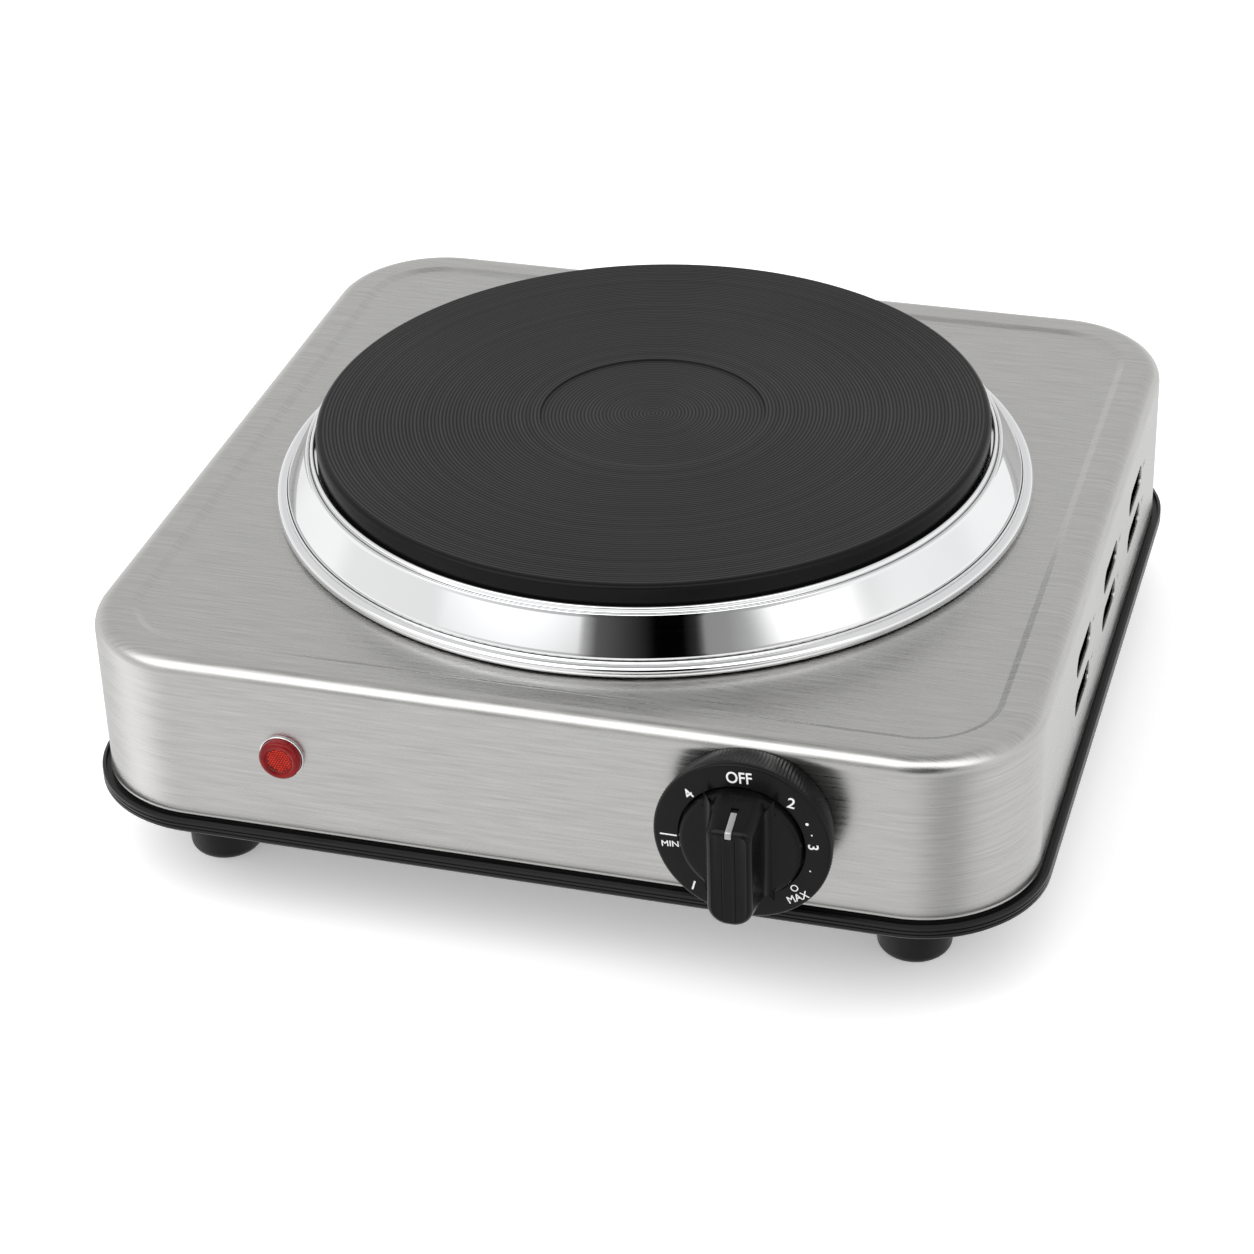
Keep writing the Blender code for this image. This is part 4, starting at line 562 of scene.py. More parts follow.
# %% Body: punch the deck and the bores
DECK_HOLE, DIAL_SCREWS_AT = 92.0 * MM, 13.5 * MM
SHAFT_BORE, SCREW_BORE, LAMP_BORE, GLAND_BORE_IN_WALL = 4.7 * MM, 1.4 * MM, 4.8 * MM, 6.3 * MM
cut(body, add_drum("deck_tool", (0, BODY_Y, TRAY_Z), DECK_HOLE, 10 * SHEET, TURN_STEPS))
bores = (
    (KNOB_AXIS, SHAFT_BORE),
    (KNOB_AXIS + Vector((0, 0, DIAL_SCREWS_AT)), SCREW_BORE),
    (KNOB_AXIS - Vector((0, 0, DIAL_SCREWS_AT)), SCREW_BORE),
    (LAMP_AXIS, LAMP_BORE),
    (GLAND_AXIS, GLAND_BORE_IN_WALL),
)
for centre, radius in bores:
    cut(body, add_drum("bore_tool", centre, radius, 10 * SHEET, rotation=OUT_OF_FRONT))
print("punched", 1 + len(bores), "round holes")

# %% [markdown]
# Each vent is a long slot with a short pressed slit behind it. One slot and one slit are made on the right
# wall, copied along the wall, down to the second row and across to the left wall, and the whole set cuts at
# once.

# %% Body: punch the vents
VENT_LENGTH, VENT_HEIGHT = 22.2 * MM, 7.4 * MM
VENT_PITCH_Y, VENT_PITCH_Z = 43.2 * MM, 12.1 * MM
VENT_MIDDLE_Y, VENT_TOP_Z = BODY_Y + 9.6 * MM, DECK_Z - 18.2 * MM
SLIT_LENGTH, SLIT_HEIGHT, SLIT_GAP, SLIT_RISE = 3.6 * MM, 1.2 * MM, 2.0 * MM, 0.8 * MM


def slot_tool(name, y, length, height, rise=0.0):
    """A slot-shaped tool through the right wall."""
    tool = add_box(name, (HALF_WIDTH, y, VENT_TOP_Z + rise), (6 * SHEET, length, height))
    edit(tool)
    pick("EDGE", lambda e: abs(e.verts[0].co.x - e.verts[1].co.x) > SHEET)
    bpy.ops.mesh.bevel(offset=0.49 * height, segments=7, profile=0.5, affect="EDGES")
    clear_selection()
    return tool


first_y = VENT_MIDDLE_Y - VENT_PITCH_Y
slit_y = first_y + VENT_LENGTH / 2 + SLIT_GAP + SLIT_LENGTH / 2
slit = slot_tool("slit_tool", slit_y, SLIT_LENGTH, SLIT_HEIGHT, SLIT_RISE)
vents = slot_tool("vent_tool", first_y, VENT_LENGTH, VENT_HEIGHT)
slit.select_set(True)
vents.select_set(True)
bpy.context.view_layer.objects.active = vents
bpy.ops.object.join()
edit(vents)
bpy.ops.mesh.select_all(action="SELECT")
for column in range(2):
    bpy.ops.mesh.duplicate_move(TRANSFORM_OT_translate={"value": (0, VENT_PITCH_Y, 0)})
for shift in ((0, 0, -VENT_PITCH_Z), (-2 * HALF_WIDTH, 0, 0)):
    bpy.ops.mesh.select_all(action="SELECT")
    bpy.ops.mesh.duplicate_move(TRANSFORM_OT_translate={"value": shift})
clear_selection()
cut(body, vents)
print("body now has", len(body.data.polygons), "faces")

# %% Body: round the punched and the lower edges
PUNCH_ROUND, SKIRT_ROUND = 0.3 * MM, 0.35 * MM


def punched_rim(edge):
    """Whether an edge is the outer rim of a vent."""
    outside = all(abs(v.co.x) > HALF_WIDTH - NEAR and v.co.z > SKIRT_Z + DECK_FILLET for v in edge.verts)
    return outside and len(edge.link_faces) == 2 and edge.calc_face_angle() > 0.8


edit(body)
print(pick("EDGE", punched_rim), "edges round the vents")
bpy.ops.mesh.bevel(offset=PUNCH_ROUND, segments=3, profile=0.5, affect="EDGES")
pick("EDGE", lambda e: at_height(SKIRT_Z)(e) and all(from_side(v.co) < NEAR for v in e.verts))
bpy.ops.mesh.bevel(offset=SKIRT_ROUND, segments=3, profile=0.5, affect="EDGES")
finish(body, steel, stands_for=["body_shell"])
apply_modifier(body, "WEIGHTED_NORMAL", keep_sharp=True, weight=60)
clear_selection()

# %% [markdown]
# ## The black pan
#
# The pan under the body is stamped sheet, enamelled black. Its edge stands out past the steel, with a
# narrow gutter inside a rounded lip and fine ribs rolled into its outer face. All of it grows from one
# rounded slab: the top face is extruded up a little at a time, in and out for the ribs, then inset and
# dropped for the gutter and the floor.

# %% Finish: black enamel
enamel, tree, shader, place = new_finish("black_enamel", Coat_Roughness=0.14, Specular_IOR_Level=0.18)
peel = use(tree, SMUDGE, Vector=place, Patches_per_metre=900.0)
dust = use(tree, GRIT, Vector=place, Grains_per_metre=2600.0)
smudge = use(tree, SMUDGE, Vector=place, Patches_per_metre=22.0)
connect(tree, shader, Base_Color=blend_colours(tree, dust, grey(0.006), grey(0.011)))
connect(tree, shader, Roughness=spread(tree, smudge, 0.26, 0.36))
connect(tree, shader, Normal=bumped(tree, peel, 0.08, 0.05 * MM))
connect(tree, shader, Coat_Weight=spread(tree, smudge, 0.10, 0.18))
print("enamel:", len(tree.nodes), "nodes")

# %% Pan: slab and ribbed edge
PAN_HALF_X, PAN_HALF_Y = pan_high.x, (pan_high.y - pan_low.y) / 2
RIM_PROUD = PAN_HALF_X - HALF_WIDTH
LEDGE_Z = SKIRT_Z - 0.3 * MM
EDGE_ROUND, RIB_DEPTH = 0.5 * MM, 0.28 * MM

pan = add_box(
    "enamel_pan",
    (0, BODY_Y, pan_low.z + 0.1 * MM),
    (2 * (PAN_HALF_X - EDGE_ROUND), 2 * (PAN_HALF_Y - EDGE_ROUND), 0.2 * MM),
)
edit(pan)
pick("EDGE", lambda e: abs(e.verts[0].co.z - e.verts[1].co.z) > NEAR)
bpy.ops.mesh.bevel(offset=CORNER_RADIUS + RIM_PROUD - EDGE_ROUND, segments=24, profile=0.5, affect="EDGES")
pick("FACE", lambda f: f.normal.z > 0.9)


def grow(rise, widen=0.0):
    """Extrudes the selected top face up, and widens or narrows it by the same amount all round."""
    bpy.ops.mesh.extrude_region_move(TRANSFORM_OT_translate={"value": (0, 0, rise)})
    if widen:
        factor = (1 + widen / PAN_HALF_X, 1 + widen / PAN_HALF_Y, 1)
        bpy.ops.transform.resize(value=factor, center_override=(0, BODY_Y, 0))


def groove():
    """A fine groove rolled round the edge, between two ribs."""
    grow(0.14 * MM, -RIB_DEPTH)
    grow(0.14 * MM)
    grow(0.14 * MM, RIB_DEPTH)


grow(0.15 * MM, 0.6 * EDGE_ROUND)
grow(0.25 * MM, 0.4 * EDGE_ROUND)
for band in (0.75 * MM, 0.62 * MM):
    grow(band)
    groove()
grow(0.58 * MM)
grow(0.26 * MM, -0.12 * MM)
grow(0.15 * MM, -0.3 * MM)
print("edge ribbed, up to the lip")

# %% Pan: gutter, ledge, upstand and floor
GUTTER_DEPTH, UPSTAND_INSET, UPSTAND_WALL, FLOOR_RISE = 1.1 * MM, 1.1 * MM, 2 * MM, 2 * MM
lip_z = max(v.co.z for v in bmesh.from_edit_mesh(pan.data).verts)
bpy.ops.mesh.inset(thickness=0.45 * MM, depth=LEDGE_Z - lip_z - 0.05 * MM)
bpy.ops.mesh.inset(thickness=0.22 * MM, depth=-GUTTER_DEPTH)
bpy.ops.mesh.inset(thickness=RIM_PROUD - 1.25 * MM)
bpy.ops.mesh.inset(thickness=0.12 * MM, depth=GUTTER_DEPTH)
bpy.ops.mesh.inset(thickness=UPSTAND_INSET)
bpy.ops.mesh.extrude_region_move(TRANSFORM_OT_translate={"value": (0, 0, pan_high.z - LEDGE_Z)})
bpy.ops.mesh.inset(thickness=UPSTAND_WALL)
floor_z = pan_low.z + FLOOR_RISE
bpy.ops.mesh.extrude_region_move(TRANSFORM_OT_translate={"value": (0, 0, floor_z - pan_high.z)})
clear_selection()
print("pan has", len(pan.data.polygons), "faces")

# %% Pan: shallow panel under its middle
PANEL_HALF, PANEL_DEPTH = 74 * MM, 0.7 * MM
panel = add_box("panel_tool", (0, BODY_Y, pan_low.z), (2 * PANEL_HALF, 2 * PANEL_HALF, 2 * PANEL_DEPTH))
edit(panel)
pick("EDGE", lambda e: abs(e.verts[0].co.z - e.verts[1].co.z) > NEAR)
bpy.ops.mesh.bevel(offset=14 * MM, segments=8, profile=0.5, affect="EDGES")
pick("VERT", lambda v: v.co.z > pan_low.z)
bpy.ops.transform.resize(value=(0.985, 0.985, 1), center_override=(0, BODY_Y, 0))
clear_selection()
cut(pan, panel)
print("panel", 2000 * PANEL_HALF, "mm wide")

# %% Pan: slots and screw holes
SLOT_SIZE = (4 * MM, 40 * MM, 8 * MM)
SLOT_PITCH, SLOT_COUNT, SLOT_Y = 12 * MM, 5, 42 * MM
slots = add_box("slots_tool", (-2 * SLOT_PITCH, BODY_Y - SLOT_Y, floor_z), SLOT_SIZE)
edit(slots)
pick("EDGE", lambda e: abs(e.verts[0].co.z - e.verts[1].co.z) > MM)
bpy.ops.mesh.bevel(offset=0.49 * SLOT_SIZE[0], segments=6, profile=0.5, affect="EDGES")
bpy.ops.mesh.select_all(action="SELECT")
for step in range(SLOT_COUNT - 1):
    bpy.ops.mesh.duplicate_move(TRANSFORM_OT_translate={"value": (SLOT_PITCH, 0, 0)})
bpy.ops.mesh.select_all(action="SELECT")
bpy.ops.mesh.duplicate_move(TRANSFORM_OT_translate={"value": (0, 2 * SLOT_Y, 0)})
clear_selection()
cut(pan, slots)
screws = [name for name in frame["nodes"] if name.startswith("foot_screw_")]
for name in screws + ["block_screw", "earth_screw"]:
    low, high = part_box(name)
    centre = ((low.x + high.x) / 2, (low.y + high.y) / 2, floor_z)
    radius = 1.6 * MM if name == "block_screw" else 1.8 * MM
    cut(pan, add_drum("hole_tool", centre, radius, 8 * MM, 32))
finish(pan, enamel, stands_for=["base_pan"])
apply_modifier(pan, "WEIGHTED_NORMAL", keep_sharp=True, weight=60)
clear_selection()

# %% [markdown]
# ## Rubber feet
#
# Each foot is a moulded rubber plug with a softly rounded tread, held by a screw sunk in its middle. One
# foot is turned and shaped once, and then copied to the four corners, each copy with its own mesh.

# %% Finish: rubber
rubber, tree, shader, place = new_finish("black_rubber", Specular_IOR_Level=0.2)
grit = use(tree, GRIT, Vector=place, Grains_per_metre=2200.0)
smudge = use(tree, SMUDGE, Vector=place, Patches_per_metre=120.0)
connect(tree, shader, Base_Color=blend_colours(tree, smudge, grey(0.004), grey(0.007)))
connect(tree, shader, Roughness=spread(tree, grit, 0.42, 0.6), Normal=bumped(tree, grit, 0.25, 0.04 * MM))
print("rubber:", len(tree.nodes), "nodes")

# %% Feet
foot_low, foot_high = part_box("foot_front_left")
FOOT_RADIUS = (foot_high.x - foot_low.x) / 2
FOOT_HEIGHT = foot_high.z
TREAD_ROUND, FOOT_BORE, SINK_RADIUS, SINK_TOP = 2.6 * MM, 1.8 * MM, 4.4 * MM, 12 * MM
TOE_RADIUS = FOOT_RADIUS - 0.5 * MM
foot_section = [(FOOT_BORE, FOOT_HEIGHT), (FOOT_RADIUS - 0.5 * MM, FOOT_HEIGHT)]
foot_section += arc((FOOT_RADIUS - 0.4 * MM, FOOT_HEIGHT - 0.4 * MM), 0.4 * MM, 90, 0, 4)
foot_section += arc((TOE_RADIUS - TREAD_ROUND, TREAD_ROUND), TREAD_ROUND, 0, -90, 10)
foot_section += [
    (SINK_RADIUS + 1.6 * MM, 0),
    (SINK_RADIUS + 1.4 * MM, 0.4 * MM),
    (SINK_RADIUS + 0.9 * MM, 0.4 * MM),
    (SINK_RADIUS + 0.7 * MM, 0),
    (SINK_RADIUS + 0.3 * MM, 0),
    (SINK_RADIUS, 0.3 * MM),
    (SINK_RADIUS, SINK_TOP),
    (FOOT_BORE, SINK_TOP),
]
first_foot = turned("rubber_foot", foot_section)
for corner in ("front_left", "front_right", "rear_left", "rear_right"):
    low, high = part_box("foot_" + corner)
    hold(first_foot)
    bpy.ops.object.duplicate()
    foot = bpy.context.active_object
    foot.name = foot.data.name = "rubber_foot_" + corner
    carry(foot, ((low.x + high.x) / 2, (low.y + high.y) / 2, 0))
    finish(foot, rubber, stands_for=["foot_" + corner])
bpy.data.objects.remove(first_foot)

# %% [markdown]
# ## Cast iron plate
#
# The plate is cast, then its face is turned, which leaves a groove for every step of the tool. The grooves
# are drawn in the section, so they catch the light at the right places, and the finish also paints shade
# into the floor of each groove. A shallow dish marks the middle, and the rim is left smooth. Its underside
# has the seat that rests in the ring, the skirt round the heater and the boss.

# %% Sizes of the plate's face
GROOVE_PITCH, GROOVE_DEPTH, GROOVE_START = 1.0 * MM, 0.13 * MM, 0.3 * MM
DISH_RADIUS, DISH_DEPTH, RIM_LAND, RIM_ROUND = 31.1 * MM, 0.6 * MM, 2.2 * MM, 1.4 * MM
print("about", round((PLATE_RADIUS - RIM_LAND) / GROOVE_PITCH), "grooves")

# %% Finish: black plate coating, with painted shade in its grooves
iron, tree, shader, place = new_finish("plate_coating", Specular_IOR_Level=0.13)
centred = centred_on(tree, place, (0, BODY_Y, 0))
rings = use(tree, RINGS, Vector=centred, Rings_per_metre=420.0)
grit = use(tree, GRIT, Vector=place, Grains_per_metre=1800.0)
smudge = use(tree, SMUDGE, Vector=place, Patches_per_metre=16.0)
away = away_from_axis(tree, centred)
on_rim = spread(tree, away, 0, 1, PLATE_RADIUS - 1.9 * MM, PLATE_RADIUS - 1.3 * MM, smooth=True)
count = {0: away, 1: 1 / GROOVE_PITCH, 2: -GROOVE_START / GROOVE_PITCH}
groove_count = add_node(tree, "Math", count, operation="MULTIPLY_ADD").outputs[0]
groove_depth = add_node(tree, "Math", {0: groove_count, 1: 0.5}, operation="PINGPONG").outputs[0]
# painted shade: the colour darkens towards the floor of each turned groove, where the grooves fall dark
groove_floor_shade = spread(tree, groove_depth, 0, 1, 0.14, 0.40, smooth=True)
ridge_colour = blend_colours(tree, rings, grey(0.026), grey(0.036))
face_colour_with_groove_shade = blend_colours(tree, groove_floor_shade, ridge_colour, grey(0.007))
connect(tree, shader, Base_Color=blend_colours(tree, on_rim, face_colour_with_groove_shade, grey(0.0045)))
face_rough = spread(tree, smudge, 0.46, 0.56)
rim_rough = spread(tree, smudge, 0.26, 0.34)
connect(tree, shader, Roughness=spread(tree, on_rim, face_rough, rim_rough))
connect(tree, shader, Normal=bumped(tree, grit, 0.18, 0.05 * MM))
print("plate coating:", len(tree.nodes), "nodes")

# %% Plate
SKIRT_OUTER, SKIRT_INNER, FACE_THICKNESS = 87.5 * MM, 84.0 * MM, 8.5 * MM
BOSS_RADIUS, STUD_BORE, STUD_DEPTH = 14.0 * MM, 3.3 * MM, 8.1 * MM
top, seat_z = plate_high.z, ring_low.z + 11.2 * MM
dish_floor = top - DISH_DEPTH
in_dish = 29 * GROOVE_PITCH + GROOVE_START
past_dish = 31 * GROOVE_PITCH + GROOVE_START


def grooves(start, end, height):
    """Section points of tool grooves from one radius to another."""
    points = []
    count = round((end - start) / GROOVE_PITCH)
    pitch = (end - start) / count
    for i in range(count):
        radius = start + i * pitch
        points += [(radius + 0.5 * pitch, height - GROOVE_DEPTH), (radius + pitch, height)]
    return points


plate_section = [(0, dish_floor), (GROOVE_START, dish_floor)]
plate_section += grooves(GROOVE_START, in_dish, dish_floor)
plate_section += [(DISH_RADIUS - 0.8 * MM, dish_floor), (DISH_RADIUS - 0.4 * MM, dish_floor)]
plate_section += [(DISH_RADIUS - 0.1 * MM, top - 0.05 * MM), (past_dish, top)]
plate_section += grooves(past_dish, PLATE_RADIUS - RIM_LAND, top)
plate_section += arc((PLATE_RADIUS - RIM_ROUND, top - RIM_ROUND), RIM_ROUND, 90, 0, 8)
plate_section += [
    (PLATE_RADIUS, seat_z + 0.5 * MM),
    (PLATE_RADIUS - 0.5 * MM, seat_z),
    (SKIRT_OUTER, seat_z),
    (SKIRT_OUTER, plate_low.z),
    (SKIRT_INNER, plate_low.z),
    (SKIRT_INNER, top - FACE_THICKNESS),
    (BOSS_RADIUS, top - FACE_THICKNESS),
    (BOSS_RADIUS, plate_low.z),
    (STUD_BORE, plate_low.z),
    (STUD_BORE, plate_low.z + STUD_DEPTH),
    (0, plate_low.z + STUD_DEPTH),
]
plate = turned("iron_plate", plate_section, TURN_STEPS)
carry(plate, (0, BODY_Y, 0))
finish(plate, iron, stands_for=["hot_plate"], soft_angle=40)

# %% [markdown]
# ## Chromed spill ring
#
# The ring is spun sheet steel, polished and chromed. From the plate outwards it has a rolled lip, a narrow
# cove, a wide sloping skirt and a rolled bead that stands on the deck. Chrome shows nothing but what it
# reflects, so the section needs smooth arcs, and the finish adds a breath of haze and a few fine
# polishing lines. It also paints shade into two narrow seams, beside the lip and at the skirt's foot: the
# colour goes near black there, where those hollow corners fall dark.

# %% Finish: chrome, with painted shade in two seams
chrome, tree, shader, place = new_finish("polished_chrome", metallic=1.0)
centred = centred_on(tree, place, (0, BODY_Y, 0))
smudge = use(tree, SMUDGE, Vector=place, Patches_per_metre=26.0)
rings = use(tree, RINGS, Vector=centred, Rings_per_metre=2400.0)
FOOT_R, NECK_SEAM = 101.2 * MM, PLATE_RADIUS + 2.15 * MM
away = away_from_axis(tree, centred)
# painted shade: near black colour along two narrow lines, at the skirt's foot and beside the lip, where the
# hollow corners fall dark
seam_shade_lines = []
for radius, width in ((FOOT_R + 0.2 * MM, 0.16 * MM), (NECK_SEAM, 0.15 * MM)):
    off = add_node(tree, "Math", {0: away, 1: radius}, operation="SUBTRACT").outputs[0]
    distance = add_node(tree, "Math", {0: off}, operation="ABSOLUTE").outputs[0]
    seam_shade_lines.append(spread(tree, distance, 1, 0, 0.6 * width, width, smooth=True))
painted_seam_shade = add_node(tree, "Math", {0: seam_shade_lines[0], 1: seam_shade_lines[1]}, operation="MAXIMUM").outputs[0]
polished = blend_colours(tree, smudge, (0.86, 0.865, 0.875, 1), (0.91, 0.912, 0.917, 1))
connect(tree, shader, Base_Color=blend_colours(tree, painted_seam_shade, polished, grey(0.02)))
haze = spread(tree, smudge, 0.025, 0.055)
lines = add_node(tree, "Math", {0: rings, 1: 0.02, 2: haze}, operation="MULTIPLY_ADD").outputs[0]
connect(tree, shader, Roughness=lines)
print("chrome:", len(tree.nodes), "nodes")

# %% Spill ring
LIP_RADIUS = PLATE_RADIUS + 0.6 * MM
SHOULDER_Z, FOOT_Z = ring_high.z, 77.6 * MM
BEAD_RADIUS, FLANGE_INNER = 1.8 * MM, 88.6 * MM
bead_centre = (ring_high.x - BEAD_RADIUS, ring_low.z + BEAD_RADIUS)
LIP_ROUND, NECK_R = 0.62 * MM, LIP_RADIUS + 1.55 * MM
lip_centre = (LIP_RADIUS + LIP_ROUND, SHOULDER_Z - LIP_ROUND)
flange_top = seat_z - 0.3 * MM
ring_section = [(LIP_RADIUS, flange_top)]
ring_section += arc(lip_centre, LIP_ROUND, 180, 10, 12)
ring_section += [(NECK_R - 0.22 * MM, SHOULDER_Z - 0.9 * MM), (NECK_R - 0.14 * MM, SHOULDER_Z - 1.35 * MM)]
ring_section += [(NECK_R + 0.14 * MM, SHOULDER_Z - 1.40 * MM)]
ring_section += arc((NECK_R + 0.6 * MM, SHOULDER_Z - 1.75 * MM), 0.5 * MM, 135, 25, 6)
skirt_top = Vector((NECK_R + 1.08 * MM, SHOULDER_Z - 1.68 * MM))
skirt_foot = Vector((FOOT_R, FOOT_Z))
for share in (0, 0.06, 0.35, 0.65, 0.94, 1):
    ring_section.append(tuple(skirt_top.lerp(skirt_foot, share)))
ring_section += [(FOOT_R + 0.1 * MM, FOOT_Z - 0.7 * MM), (FOOT_R + 0.32 * MM, FOOT_Z - 0.75 * MM)]
ring_section += arc(bead_centre, BEAD_RADIUS, 118, -90, 16)
ring_section += [
    (FOOT_R + 0.4 * MM, ring_low.z),
    (FOOT_R - 0.2 * MM, FOOT_Z - 1.4 * MM),
    (LIP_RADIUS + 2.3 * MM, SHOULDER_Z - 2.9 * MM),
    (LIP_RADIUS + 1.0 * MM, SHOULDER_Z - 2.0 * MM),
    (LIP_RADIUS + 1.0 * MM, flange_top - 1.0 * MM),
    (FLANGE_INNER, flange_top - 1.0 * MM),
    (FLANGE_INNER, flange_top),
]
ring = turned("chrome_ring", ring_section, TURN_STEPS)
carry(ring, (0, BODY_Y, 0))
finish(ring, chrome, stands_for=["spill_ring"], soft_angle=45)

# %% [markdown]
# ## Dial
#
# The dial is a moulded black cup fixed to the wall. Its face carries the print, its side is knurled, and a
# round recess in its middle takes the knob. It is spun in as many steps as the knurl has flanks, and then
# every second column of points in the knurled band is drawn in a little, which makes all the ridges in one
# move.

# %% Finish: black moulded plastic
plastic, tree, shader, place = new_finish("black_moulding", Specular_IOR_Level=0.16)
grit = use(tree, GRIT, Vector=place, Grains_per_metre=5200.0)
smudge = use(tree, SMUDGE, Vector=place, Patches_per_metre=90.0)
connect(tree, shader, Base_Color=blend_colours(tree, smudge, grey(0.0035), grey(0.0055)))
connect(tree, shader, Roughness=spread(tree, smudge, 0.22, 0.30))
connect(tree, shader, Normal=bumped(tree, grit, 0.06, 0.03 * MM))
print("moulding:", len(tree.nodes), "nodes")

# %% Dial
KNURL_RIDGES, KNURL_DEPTH = 140, 0.32 * MM
HUB_RADIUS, HUB_FACE = (knob_high.x - knob_low.x) / 2, DIAL_FACE + 2.2 * MM
RECESS_RADIUS, RECESS_FLOOR = HUB_RADIUS + 0.3 * MM, DIAL_FACE - 2.5 * MM
UNDER_FLOOR, DIAL_BACK = RECESS_FLOOR - 2 * MM, 0.3 * MM
KNURL_LOW, KNURL_TOP, TAPER = 0.9 * MM, DIAL_FACE - 1.5 * MM, 1.6 * MM
dial_section = [(RECESS_RADIUS, RECESS_FLOOR), (RECESS_RADIUS, DIAL_FACE - 0.35 * MM)]
dial_section += [(RECESS_RADIUS + 0.35 * MM, DIAL_FACE), (DIAL_RADIUS - 1.3 * MM, DIAL_FACE)]
dial_section += arc((DIAL_RADIUS - 0.9 * MM, DIAL_FACE - 0.85 * MM), 0.8 * MM, 80, 10, 6)
dial_section += [
    (DIAL_RADIUS - 0.1 * MM, KNURL_TOP + 0.35 * MM),
    (DIAL_RADIUS - KNURL_DEPTH, KNURL_TOP + 0.2 * MM),
    (DIAL_RADIUS, KNURL_TOP),
    (DIAL_RADIUS - TAPER, KNURL_LOW),
    (DIAL_RADIUS - TAPER - KNURL_DEPTH, KNURL_LOW - 0.3 * MM),
    (DIAL_RADIUS - TAPER - KNURL_DEPTH, DIAL_BACK),
    (DIAL_RADIUS - TAPER - 2 * MM, DIAL_BACK),
    (DIAL_RADIUS - TAPER - 2 * MM, UNDER_FLOOR),
    (7.5 * MM, UNDER_FLOOR),
    (7.5 * MM, 1.25 * MM),
    (4.9 * MM, 1.25 * MM),
    (4.9 * MM, RECESS_FLOOR),
]
dial = turned("knurled_dial", dial_section, 2 * KNURL_RIDGES)
step_angle = math.pi / KNURL_RIDGES


def in_knurl_valley(v):
    """Whether a point lies in the knurled band, on every second column round it."""
    far_out = math.hypot(v.co.x, v.co.y) > DIAL_RADIUS - TAPER - NEAR
    in_band = far_out and KNURL_LOW - NEAR < v.co.z < KNURL_TOP + NEAR
    return in_band and round(math.atan2(v.co.y, v.co.x) / step_angle) % 2 == 1


edit(dial)
print(pick("VERT", in_knurl_valley), "points drawn in for the knurl")
shrink = 1 - KNURL_DEPTH / DIAL_RADIUS
bpy.ops.transform.resize(value=(shrink, shrink, 1), center_override=(0, 0, 0))
clear_selection()
for side in (-1, 1):
    boss = add_drum("boss", (0, side * DIAL_SCREWS_AT, 3.6 * MM), 2.86 * MM, 6.6 * MM, 24)
    cut(dial, boss, "UNION")
carry(dial, KNOB_AXIS, OUT_OF_FRONT)
finish(dial, plastic, stands_for=["dial_ring"], soft_angle=25)

# %% [markdown]
# ## Print on the dial
#
# The settings are pad-printed in white. Each is a text object made into a mesh, scaled to its height,
# turned and laid on the face, and then all are joined. Ink isn't perfectly white or even, so its finish is
# slightly mottled.

# %% Finish: white ink
ink, tree, shader, place = new_finish("white_ink", Specular_IOR_Level=0.3)
grit = use(tree, GRIT, Vector=place, Grains_per_metre=4000.0)
connect(tree, shader, Base_Color=blend_colours(tree, grit, grey(0.78), grey(0.90)))
connect(tree, shader, Roughness=spread(tree, grit, 0.4, 0.6))
print("ink:", len(tree.nodes), "nodes")

# %% Dial marks
INK = 0.02 * MM
WORDS = (  # text, cap height, width (0 keeps the font's), place across, place up, turn in degrees
    ("OFF", 3.3, 6.5, -0.4, 18.9, 4),
    ("4", 2.9, 0, -13.3, 12.1, 48),
    ("MIN", 1.7, 4.4, -18.2, -3.6, 5),
    ("1", 2.7, 0, -12.4, -15.3, -15),
    ("2", 3.0, 0, 12.6, 13.6, -10),
    ("3", 2.7, 0, 18.1, 1.4, -85),
    ("MAX", 2.1, 5.8, 14.2, -14.3, 29),
)
DOTS = ((16.5, 8.0, 0.42), (17.7, 4.9, 0.22), (17.3, -5.9, 0.22))
marks = []
for text, height, width, across, up, turn in WORDS:
    clear_selection()
    bpy.ops.object.text_add()
    mark = bpy.context.active_object
    mark.data.body = text
    mark.data.extrude = 0.5
    mark.data.offset = 0.012
    bpy.ops.object.convert(target="MESH")
    mark = bpy.context.active_object
    bpy.ops.object.origin_set(type="ORIGIN_GEOMETRY", center="BOUNDS")
    rise = height * MM / mark.dimensions.y
    mark.scale = (width * MM / mark.dimensions.x if width else rise, rise, INK)
    mark.rotation_euler = (0, 0, math.radians(turn))
    mark.location = (across * MM, up * MM, DIAL_FACE + INK / 2)
    bpy.ops.object.transform_apply(location=True, rotation=True, scale=True)
    edit(mark)
    bpy.ops.mesh.select_all(action="SELECT")
    bpy.ops.mesh.remove_doubles(threshold=INK / 20)
    clear_selection()
    marks.append(mark)
for across, up, radius in DOTS:
    marks.append(add_drum("dot", (across * MM, up * MM, DIAL_FACE + INK / 2), radius * MM, INK, 16))
line = add_box("line", (-18.6 * MM, -0.9 * MM, DIAL_FACE + INK / 2), (4.3 * MM, 0.42 * MM, INK))
marks.append(line)
circle_in, circle_out, ink_top = 0.7 * MM, 1.0 * MM, DIAL_FACE + INK
low_ring = [(circle_in, DIAL_FACE), (circle_in, ink_top), (circle_out, ink_top), (circle_out, DIAL_FACE)]
circle = turned("circle", low_ring, 24)
carry(circle, (13.3 * MM, -11.7 * MM, 0))
marks.append(circle)
for mark in marks:
    mark.select_set(True)
bpy.context.view_layer.objects.active = marks[0]
bpy.ops.object.join()
dial_marks = bpy.context.active_object
dial_marks.name = dial_marks.data.name = "dial_marks"
dial_marks.data.materials.clear()
carry(dial_marks, KNOB_AXIS, OUT_OF_FRONT)
finish(dial_marks, ink, soft_angle=10)

